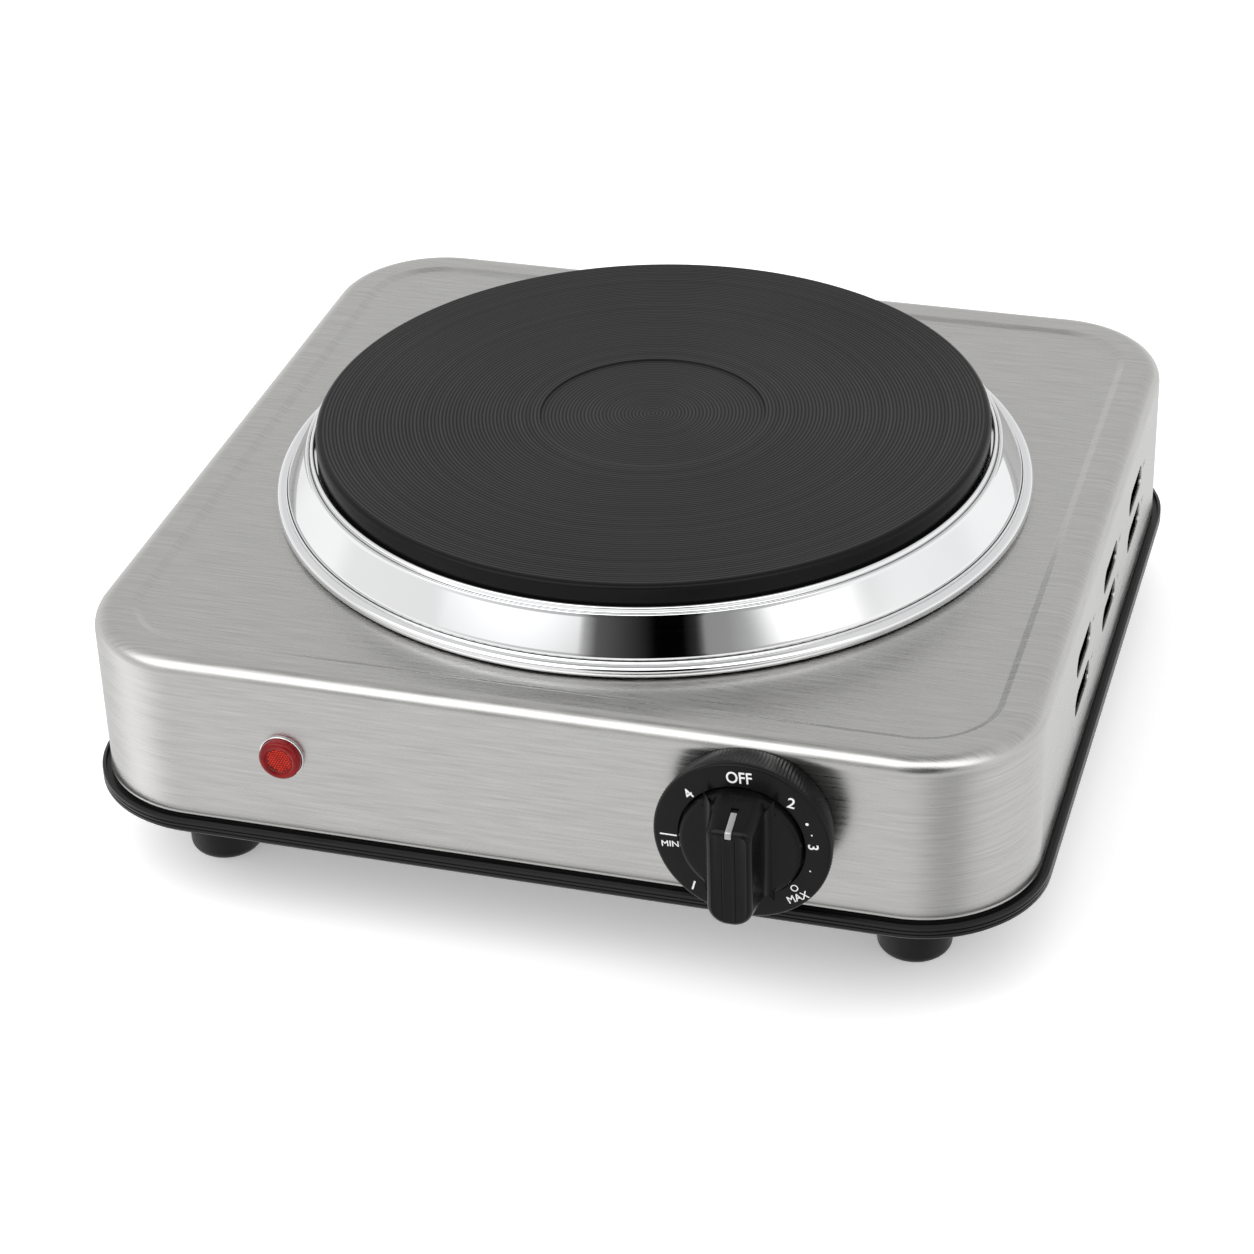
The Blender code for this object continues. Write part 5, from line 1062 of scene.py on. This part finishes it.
# %% [markdown]
# ## Knob
#
# The knob turns in the dial's recess. Its hub is spun, with a socket for the shaft, and cut away where a
# ramp runs down into it. The grip bar is a box whose upper end leans back along that ramp: its side edges
# are rolled, its lower end is rounded to a U, and fine lines are bisected into its crowned front. The bar
# and the hub are then joined, and the corner between them gets a fillet.

# %% Knob: hub
hub = turned(
    "grip_knob",
    [
        (0, HUB_FACE),
        (HUB_RADIUS - 1.5 * MM, HUB_FACE),
        (HUB_RADIUS - 0.9 * MM, HUB_FACE - 0.08 * MM),
        (HUB_RADIUS - 0.35 * MM, HUB_FACE - 0.35 * MM),
        (HUB_RADIUS - 0.05 * MM, HUB_FACE - 0.85 * MM),
        (HUB_RADIUS, HUB_FACE - 1.4 * MM),
        (HUB_RADIUS, RECESS_FLOOR + 0.3 * MM),
        (4.6 * MM, RECESS_FLOOR + 0.3 * MM),
        (4.6 * MM, 2.6 * MM),
        (3.3 * MM, 2.6 * MM),
        (3.3 * MM, HUB_FACE - 1.5 * MM),
        (0, HUB_FACE - 1.5 * MM),
    ],
)
print("hub", 2000 * HUB_RADIUS, "mm across")

# %% Knob: cut the hub where the ramp runs down into it
BAR_HALF, BAR_FOOT, BAR_FRONT = 5.6 * MM, 10.9 * MM, KNOB_FRONT - 0.12 * MM
BAR_UPPER, BAR_LOWER = HUB_RADIUS - 0.05 * MM, HUB_RADIUS + 0.9 * MM
RAMP_FOOT, NOSE_Y = RECESS_FLOOR + 1.2 * MM, 11.3 * MM
ramp_way = Vector((NOSE_Y - BAR_UPPER, BAR_FRONT - RAMP_FOOT)).normalized()
ramp_out = Vector((ramp_way.y, -ramp_way.x))
lean = math.atan2(-ramp_way.x, ramp_way.y)
ramp_cut = add_box("ramp_cut", (0, 5.02 * MM, 0), (2 * BAR_HALF + 4 * MM, 10 * MM, 30 * MM))
edit(ramp_cut)
pick("EDGE", lambda e: abs(e.verts[0].co.z - e.verts[1].co.z) > MM and e.verts[0].co.y < MM)
bpy.ops.mesh.bevel(offset=1.9 * MM, segments=6, profile=0.5, affect="EDGES")
carry(ramp_cut, (0, BAR_UPPER, RAMP_FOOT), (lean, 0, 0))
cut(hub, ramp_cut)
print("ramp leans", round(math.degrees(lean), 1), "degrees")

# %% Knob: grip bar
BAR_DRAFT = 1.3 * MM  # wider at its foot, on each side
foot_y = BAR_UPPER + ramp_way.x / ramp_way.y * (BAR_FOOT - RAMP_FOOT)
bar = add_box(
    "bar",
    (0, (foot_y - BAR_LOWER) / 2, (BAR_FOOT + BAR_FRONT) / 2),
    (2 * BAR_HALF, foot_y + BAR_LOWER, BAR_FRONT - BAR_FOOT),
)
edit(bar)
pick("VERT", lambda v: v.co.y > 0 and v.co.z > BAR_FOOT + NEAR)
bpy.ops.transform.translate(value=(0, NOSE_Y - foot_y, 0))
pick("VERT", lambda v: v.co.z < BAR_FOOT + NEAR)
bpy.ops.transform.resize(value=(1 + BAR_DRAFT / BAR_HALF, 1, 1), center_override=(0, 0, 0))
pick("EDGE", lambda e: max(v.co.y for v in e.verts) < 0 and abs(e.verts[0].co.z - e.verts[1].co.z) > MM)
bpy.ops.mesh.bevel(offset=5.0 * MM, segments=10, profile=0.5, affect="EDGES")
pick("EDGE", lambda e: min(v.co.y for v in e.verts) > 0 and abs(e.verts[0].co.z - e.verts[1].co.z) > MM)
bpy.ops.mesh.bevel(offset=2.6 * MM, segments=7, profile=0.5, affect="EDGES")
pick("EDGE", at_height(BAR_FRONT))
bpy.ops.mesh.bevel(offset=1.5 * MM, segments=6, profile=0.5, affect="EDGES")
print("bar with", len(bmesh.from_edit_mesh(bar.data).faces), "faces")

# %% Knob: crown and flutes on the bar's front
CROWN, FLUTE = 0.22 * MM, 0.1 * MM
LINES = (-3.4, -2.5, -1.78, -1.6, -1.42, -0.6, 0.6, 1.42, 1.6, 1.78, 2.5, 3.4)
for line_x in LINES:
    bpy.ops.mesh.select_all(action="SELECT")
    bpy.ops.mesh.bisect(plane_co=(line_x * MM, 0, 0), plane_no=(1, 0, 0))
for line_x in LINES:
    on_front = lambda v: abs(v.co.x - line_x * MM) < NEAR and v.co.z > BAR_FRONT - NEAR
    if pick("VERT", on_front):
        drop = CROWN * (line_x / 4.4) ** 2 + (FLUTE if abs(line_x) == 1.6 else 0)
        bpy.ops.transform.translate(value=(0, 0, -drop))
rim = lambda v: v.co.z > BAR_FRONT - NEAR and min(abs(v.co.x - x * MM) for x in LINES) > NEAR
pick("VERT", rim)
bpy.ops.transform.translate(value=(0, 0, -CROWN))
clear_selection()
print(len(LINES), "lines on the front")

# %% Knob: join the bar to the hub
cut(hub, bar, "UNION")
edit(hub)


def between_bar_and_hub(edge):
    """Whether an edge is the hollow corner where the bar stands on the hub's face."""
    return at_height(HUB_FACE)(edge) and edge.is_manifold and edge.calc_face_angle_signed() < -0.7


print(pick("EDGE", between_bar_and_hub), "edges get the fillet")
bpy.ops.mesh.bevel(offset=2.2 * MM, segments=6, profile=0.5, affect="EDGES")
clear_selection()
print("knob joined")

# %% [markdown]
# The pointer is a silver strip let into the top of the bar: it runs up the ramp and over the nose. Strip
# and groove follow the same path, so one helper draws both, the groove a little wider and longer.

# %% Knob: pointer strip and its groove
nose = Vector((NOSE_Y, BAR_FRONT))


def strip_over_nose(name, on_ramp, on_front, width, depth, proud):
    """A strip along the ramp and over the nose, drawn in the plane of the bar's length and height."""
    points = []
    for level in (proud, -depth):
        bend = nose + ramp_out * level - ramp_way * 0.75 * MM
        front = Vector((nose.x - 0.95 * MM, BAR_FRONT + level))
        curve = [
            nose + ramp_out * level - ramp_way * on_ramp,
            bend,
            bend.lerp(front, 0.3) + (ramp_out + Vector((0, 1))) * 0.16 * MM,
            bend.lerp(front, 0.65) + (ramp_out + Vector((0, 1))) * 0.16 * MM,
            front,
            Vector((nose.x - on_front, BAR_FRONT + level)),
        ]
        points += curve if level == proud else curve[::-1]
    strip = draw_section(name, [tuple(point) for point in points])
    bpy.ops.mesh.select_all(action="SELECT")
    bpy.ops.mesh.edge_face_add()
    bpy.ops.transform.translate(value=(0, -width / 2, 0))
    bpy.ops.mesh.extrude_region_move(TRANSFORM_OT_translate={"value": (0, width, 0)})
    bpy.ops.mesh.select_all(action="SELECT")
    bpy.ops.mesh.normals_make_consistent(inside=False)
    carry(strip, (0, 0, 0), (0, 0, math.pi / 2))
    return strip


groove_tool = strip_over_nose("groove_tool", 8.0 * MM, 1.9 * MM, 2.0 * MM, 0.6 * MM, 1.0 * MM)
cut(hub, groove_tool)
carry(hub, KNOB_AXIS, OUT_OF_FRONT)
finish(hub, plastic, body="knob", stands_for=["control_knob"], soft_angle=28)

# %% Finish: satin silver
silver, tree, shader, place = new_finish("satin_silver", metallic=0.7)
grit = use(tree, GRIT, Vector=place, Grains_per_metre=6000.0)
connect(tree, shader, Base_Color=blend_colours(tree, grit, grey(0.36), grey(0.46)))
connect(tree, shader, Roughness=spread(tree, grit, 0.30, 0.42))
print("silver:", len(tree.nodes), "nodes")

# %% Knob: pointer
pointer = strip_over_nose("pointer_strip", 6.5 * MM, 1.7 * MM, 1.6 * MM, 0.5 * MM, 0.02 * MM)
edit(pointer)
pick("EDGE", lambda e: e.verts[0].co.x * e.verts[1].co.x > 0 and e.calc_face_angle() > 1.4)
bpy.ops.mesh.bevel(offset=0.12 * MM, segments=2, profile=0.5, affect="EDGES")
carry(pointer, KNOB_AXIS, OUT_OF_FRONT)
finish(pointer, silver, body="knob", stands_for=["knob_pointer"])

# %% [markdown]
# ## Pilot lamp
#
# The lamp is a red lens in a thin bright bezel. The lens has a rolled rim and a shallow window, moulded
# inside with a field of small domes that scatter the bulb's light. One dome is made and copied over a
# hexagonal grid.

# %% Finish: red lens and its domes
lens_red, tree, shader, place = new_finish("red_lens_moulding", Specular_IOR_Level=0.2, Coat_Roughness=0.05)
smudge = use(tree, SMUDGE, Vector=place, Patches_per_metre=260.0)
lens_tone = blend_colours(tree, smudge, (0.13, 0.002, 0.003, 1), (0.25, 0.004, 0.005, 1))
connect(tree, shader, Base_Color=lens_tone, Roughness=spread(tree, smudge, 0.14, 0.22))
connect(tree, shader, Coat_Weight=spread(tree, smudge, 0.08, 0.16))
dome_red, tree, shader, place = new_finish("lit_domes", Specular_IOR_Level=0.25, Emission_Strength=0.12)
smudge = use(tree, SMUDGE, Vector=place, Patches_per_metre=380.0)
domes_tone = blend_colours(tree, smudge, (0.50, 0.020, 0.010, 1), (0.72, 0.055, 0.02, 1))
connect(tree, shader, Base_Color=domes_tone, Emission_Color=domes_tone)
connect(tree, shader, Roughness=spread(tree, smudge, 0.2, 0.3))
print("lens finishes ready")

# %% Lamp: lens, domes and bezel
LENS_RADIUS = (lens_high.x - lens_low.x) / 2 - 0.4 * MM
TUBE_RADIUS, WINDOW_RADIUS, WINDOW_Z = 4.5 * MM, 3.7 * MM, 1.9 * MM
LENS_BACK, TUBE_LENGTH = 0.3 * MM, 10 * MM
lens_section = [(0, WINDOW_Z), (WINDOW_RADIUS - 0.2 * MM, WINDOW_Z), (WINDOW_RADIUS, WINDOW_Z + 0.1 * MM)]
lens_section += [(WINDOW_RADIUS + 0.25 * MM, WINDOW_Z + 0.75 * MM)]
lens_section += arc((4.5 * MM, 1.75 * MM), 1.1 * MM, 130, 0, 10)
lens_section += [
    (LENS_RADIUS, 1.4 * MM),
    (LENS_RADIUS, LENS_BACK),
    (TUBE_RADIUS, LENS_BACK),
    (TUBE_RADIUS, -TUBE_LENGTH),
    (TUBE_RADIUS - MM, -TUBE_LENGTH),
    (TUBE_RADIUS - MM, WINDOW_Z - MM),
    (0, WINDOW_Z - MM),
]
lens = turned("pilot_lens", lens_section, 64)
carry(lens, LAMP_AXIS, OUT_OF_FRONT)
finish(lens, lens_red, stands_for=["lamp_lens"], soft_angle=50)

DOME_PITCH, DOME_RADIUS, DOME_ROWS = 0.74 * MM, 0.27 * MM, 6
FIELD = 4.4  # how many pitches the field of domes reaches from its middle
middle_of_field = (0, 0, WINDOW_Z)
clear_selection()
bpy.ops.mesh.primitive_uv_sphere_add(segments=10, ring_count=6, radius=DOME_RADIUS, location=middle_of_field)
domes = named("lens_domes")
edit(domes)
steps = range(-DOME_ROWS, DOME_ROWS + 1)
places = [(i + j / 2, j * math.sqrt(0.75)) for i in steps for j in steps]
places = [(x, y) for x, y in places if 0.1 < math.hypot(x, y) < FIELD]
for x, y in places:
    pick("VERT", lambda v: math.hypot(v.co.x, v.co.y) < 1.05 * DOME_RADIUS)
    bpy.ops.mesh.duplicate_move(TRANSFORM_OT_translate={"value": (x * DOME_PITCH, y * DOME_PITCH, 0)})
print(len(places) + 1, "domes in the window")
carry(domes, LAMP_AXIS, OUT_OF_FRONT)
finish(domes, dome_red, soft_angle=60)

bezel_section = arc((LENS_RADIUS + 0.2 * MM, 0.3 * MM), 0.24 * MM, 0, 315, 7)
bezel = turned("lamp_bezel", bezel_section, 64)
carry(bezel, LAMP_AXIS, OUT_OF_FRONT)
finish(bezel, chrome, soft_angle=60)

# %% [markdown]
# ## Cord gland
#
# The gland is a rubber bush snapped into the rear wall, where a cord would come in. It is spun, with a soft
# lip, two grip ribs and the groove that holds the sheet.

# %% Gland
GLAND_RADIUS = (gland_high.x - gland_low.x) / 2
GLAND_PROUD, GLAND_BORE, GLAND_NECK = gland_high.y - REAR_Y, 3.7 * MM, 6 * MM
gland_section = [(GLAND_BORE, -3.3 * MM), (GLAND_BORE, GLAND_PROUD - 0.5 * MM)]
gland_section += arc((GLAND_BORE + 0.6 * MM, GLAND_PROUD - 0.6 * MM), 0.6 * MM, 170, 90, 4)
gland_section += [(GLAND_NECK - 0.4 * MM, GLAND_PROUD), (GLAND_NECK - 0.2 * MM, GLAND_PROUD - 0.3 * MM)]
gland_section += [(GLAND_NECK + 0.2 * MM, GLAND_PROUD - 0.3 * MM), (GLAND_NECK + 0.4 * MM, GLAND_PROUD)]
gland_section += arc((GLAND_RADIUS - 0.9 * MM, GLAND_PROUD - 0.9 * MM), 0.9 * MM, 90, 0, 6)
gland_section += [
    (GLAND_RADIUS, 0.3 * MM),
    (GLAND_NECK, 0.3 * MM),
    (GLAND_NECK, -SHEET - 0.3 * MM),
    (GLAND_RADIUS, -SHEET - 0.3 * MM),
    (GLAND_RADIUS - 0.5 * MM, -3.6 * MM),
    (GLAND_BORE + 0.3 * MM, -3.6 * MM),
]
gland = turned("cord_gland", gland_section, 64)
carry(gland, GLAND_AXIS, OUT_OF_REAR)
finish(gland, rubber, stands_for=["cable_gland"], soft_angle=40)

# %% [markdown]
# ## Finishes inside the body
#
# The heater, thermostat, terminals and wiring stay as the plain solids of the frame, and each gets the
# finish of its own stuff. They differ in colour, shine and grain size, so one helper builds them all from
# the shared patterns.


# %% Finishes of the inner parts
def inner_finish(name, dark, light, rough, grains, metallic=0.0, strength=0.2, **constants):
    """A finish with a fine grain in its height and large soft patches in its tone and shine."""
    material, tree, shader, place = new_finish(name, metallic, **constants)
    grit = use(tree, GRIT, Vector=place, Grains_per_metre=grains)
    smudge = use(tree, SMUDGE, Vector=place, Patches_per_metre=130.0)
    mottle = add_node(tree, "Math", {0: grit, 1: 0.5, 2: smudge}, operation="MULTIPLY_ADD", use_clamp=True)
    connect(tree, shader, Base_Color=blend_colours(tree, mottle.outputs[0], (*dark, 1), (*light, 1)))
    connect(tree, shader, Roughness=spread(tree, smudge, rough - 0.06, rough + 0.06))
    connect(tree, shader, Normal=bumped(tree, grit, strength, 0.04 * MM))
    return material


INNER_PARTS = {
    inner_finish("zinc_plating", (0.44, 0.45, 0.44), (0.64, 0.64, 0.60), 0.34, 1500.0, 1.0): (
        "foot_screw", "corner_bracket", "plate_cover", "plate_stud", "clamp", "heat_shield", "shield_nut",
        "thermostat_mount", "dial_screw", "bimetal_strip", "stack_rivet", "lamp_clip", "block_screw",
        "earth_screw",
    ),
    inner_finish("turned_brass", (0.60, 0.41, 0.17), (0.78, 0.58, 0.29), 0.30, 2200.0, 1.0): (
        "thermostat_shaft", "thermostat_bush", "adjusting_blade", "contact_blade",
    ),
    inner_finish("steatite", (0.74, 0.70, 0.62), (0.88, 0.85, 0.79), 0.46, 3400.0): (
        "stack_insulator", "plate_terminal_block", "mains_terminal_block",
    ),
    inner_finish("heater_sheathing", (0.12, 0.10, 0.09), (0.26, 0.21, 0.18), 0.52, 2600.0, 0.8): (
        "heating_coil",
    ),
    inner_finish("lamp_glass", (0.80, 0.56, 0.40), (0.90, 0.68, 0.52), 0.10, 900.0, strength=0.05): (
        "lamp_bulb",
    ),
    inner_finish("white_braid", (0.66, 0.64, 0.58), (0.84, 0.82, 0.77), 0.58, 4200.0, strength=0.5): (
        "thermal_fuse", "lamp_plug", "heater_wire", "lamp_wire_live",
    ),
    inner_finish("brown_braid", (0.13, 0.05, 0.02), (0.24, 0.10, 0.04), 0.55, 4200.0, strength=0.5): (
        "live_wire", "fuse_wire",
    ),
    inner_finish("blue_braid", (0.02, 0.07, 0.30), (0.05, 0.14, 0.46), 0.55, 4200.0, strength=0.5): (
        "return_wire", "lamp_wire_return",
    ),
    inner_finish("green_braid", (0.08, 0.30, 0.04), (0.20, 0.46, 0.08), 0.55, 4200.0, strength=0.5): (
        "earth_wire",
    ),
}
dressed = 0
for material, starts in INNER_PARTS.items():
    for name, node in frame["nodes"].items():
        if name.startswith(starts) and not node.hide_render:
            node.data.materials.clear()
            node.data.materials.append(material)
            dressed += 1
print(dressed, "plain solids dressed")

# %% [markdown]
# ## Stage, light and camera
#
# A large white floor and a white surround give the soft light of a product table. A big soft lamp from the
# upper left sends a faint shadow to the right. Metal shows only what is round it, so the surround isn't
# even: a colour ramp, read by the direction round the burner, gives it one dark opening at the front,
# brighter and greyer parts elsewhere, a bright band above the front and a grey overhead. A second ramp does
# the same below the horizon, where the shiny pieces see it in place of the floor. The camera sees plain
# white everywhere.

# %% Floor
clear_selection()
bpy.ops.mesh.primitive_plane_add(size=8)
floor = named("studio_floor")
floor_paint, tree, shader, place = new_finish("floor_paint", Specular_IOR_Level=0.2)
smudge = use(tree, SMUDGE, Vector=place, Patches_per_metre=6.0)
connect(tree, shader, Base_Color=blend_colours(tree, smudge, grey(0.93), grey(0.94)))
connect(tree, shader, Roughness=spread(tree, smudge, 0.6, 0.7))
seen = add_node(tree, "LightPath").outputs["Is Camera Ray"]
connect(tree, shader, Emission_Strength=spread(tree, seen, 0, 0.30))
shader.inputs["Emission Color"].default_value = grey(1.0)
floor.data.materials.append(floor_paint)
floor.visible_glossy = False
floor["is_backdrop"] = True
print("floor laid")

# %% Surround
ROUND_ABOUT = (  # how bright the surround is, by degrees to the right of the front
    (-180, 0.80), (-120, 0.88), (-51, 0.85), (-30, 0.68), (-8, 0.50), (-3, 0.10), (7, 0.04), (15, 0.0),
    (24, 0.0), (29, 0.03), (31, 0.28), (38, 0.30), (50, 0.55), (76, 1.0), (120, 0.92), (150, 0.82),
    (180, 0.80),
)
BELOW = (  # the same for what lies below the horizon, which only the shiny pieces see
    (-180, 0.95), (-125, 0.9), (-100, 1.1), (-78, 1.55), (-58, 1.4), (-40, 0.98), (8, 0.93), (26, 0.62),
    (44, 0.58), (62, 0.9), (80, 1.0), (180, 0.95),
)
world = bpy.data.worlds.new("studio_surround")
bpy.context.scene.world = world
world.use_nodes = True
tree = world.node_tree
background = tree.nodes["Background"]
way = add_node(tree, "TexCoord").outputs["Generated"]
parts = add_node(tree, "SeparateXYZ", {0: way}).outputs
height = parts["Z"]
front_part = add_node(tree, "Math", {0: parts["Y"], 1: -1.0}, operation="MULTIPLY").outputs[0]
turn = add_node(tree, "Math", {0: parts["X"], 1: front_part}, operation="ARCTAN2").outputs[0]
turn = spread(tree, turn, 0, 1, -math.pi, math.pi)


def levels_round(table):
    """A colour ramp that follows a table of (degrees, level) all the way round."""
    ramp = add_node(tree, "ValToRGB", {0: turn})
    stops = ramp.color_ramp.elements
    for degrees, level in table[1:-1]:
        stops.new(degrees / 360 + 0.5)
    for stop, (degrees, level) in zip(stops, table):
        stop.position = degrees / 360 + 0.5
        stop.color = grey(level)
    return ramp.outputs[0]


around, below = levels_round(ROUND_ABOUT), levels_round(BELOW)
front_light = spread(tree, front_part, 0.75, 2.6, 0.05, 0.5, smooth=True)
lift = add_node(tree, "Math", {0: around, 1: 0.34, 2: height}, operation="MULTIPLY_ADD").outputs[0]
upper = blend_colours(tree, spread(tree, lift, 0, 1, 0.62, 0.76, smooth=True), around, front_light)
over = blend_colours(tree, spread(tree, height, 0, 1, 0.90, 0.97, smooth=True), upper, grey(0.42))
low = blend_colours(tree, spread(tree, height, 0, 1, -0.2, -0.05, smooth=True), below, grey(1.0))
level = blend_colours(tree, spread(tree, height, 0, 1, 0.08, 0.16, smooth=True), low, over)
rays = add_node(tree, "LightPath").outputs
lit = blend_colours(tree, rays["Is Diffuse Ray"], level, grey(1.15))
tree.links.new(blend_colours(tree, rays["Is Camera Ray"], lit, grey(1.0)), background.inputs["Color"])
print("surround:", len(tree.nodes), "nodes")


# %% Lamps
def towards(azimuth, elevation):
    """A direction by its degrees to the right of the front and above the horizon."""
    across, up = math.radians(azimuth), math.radians(elevation)
    return Vector((math.sin(across) * math.cos(up), -math.cos(across) * math.cos(up), math.sin(up)))


def soft_lamp(name, azimuth, elevation, distance, size, power):
    """A large square lamp that faces the middle of the burner."""
    way = towards(azimuth, elevation)
    light = bpy.data.lights.new(name, "AREA")
    light.size, light.energy = size, power
    lamp = bpy.data.objects.new(name, light)
    lamp.location = Vector((0, BODY_Y, 0.05)) + distance * way
    lamp.rotation_euler = way.to_track_quat("Z", "Y").to_euler()
    bpy.context.scene.collection.objects.link(lamp)
    return lamp


key_lamp = soft_lamp("key_lamp", -75, 50, 2.0, 1.6, 9)
key_lamp.visible_glossy = False
print("lamps hung")

# %% Camera
CAMERA_AZIMUTH, CAMERA_ELEVATION = 17.13, 31.99  # degrees
CAMERA_TARGET = Vector((-5.63, -2.22, 30.42)) * MM
CAMERA_DISTANCE, CAMERA_ROLL = 959.68 * MM, math.radians(-1.94)
clear_selection()
bpy.ops.object.camera_add()
camera = bpy.context.active_object
camera.name = "studio_camera"
back = towards(CAMERA_AZIMUTH, CAMERA_ELEVATION)
camera.location = CAMERA_TARGET + CAMERA_DISTANCE * back
camera.rotation_mode = "QUATERNION"
camera.rotation_quaternion = back.to_track_quat("Z", "Y") @ Quaternion((0, 0, 1), CAMERA_ROLL)
camera.data.lens = 97.9
camera.data.sensor_width = 36
bpy.context.scene.camera = camera
bpy.context.scene.view_settings.view_transform = "Standard"
print("camera", [round(c, 3) for c in camera.location])

# %% [markdown]
# ## Sizes of the frame and the model
#
# The fine model must fill the same box as the frame, so both boxes are printed side by side.

# %% Sizes of the frame and the model
model_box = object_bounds()
sizes = {"frame": [list(corner) for corner in frame_box], "model": [list(corner) for corner in model_box]}
for label, (low, high) in sizes.items():
    print(label, [round(1000 * (b - a), 2) for a, b in zip(low, high)], "mm")
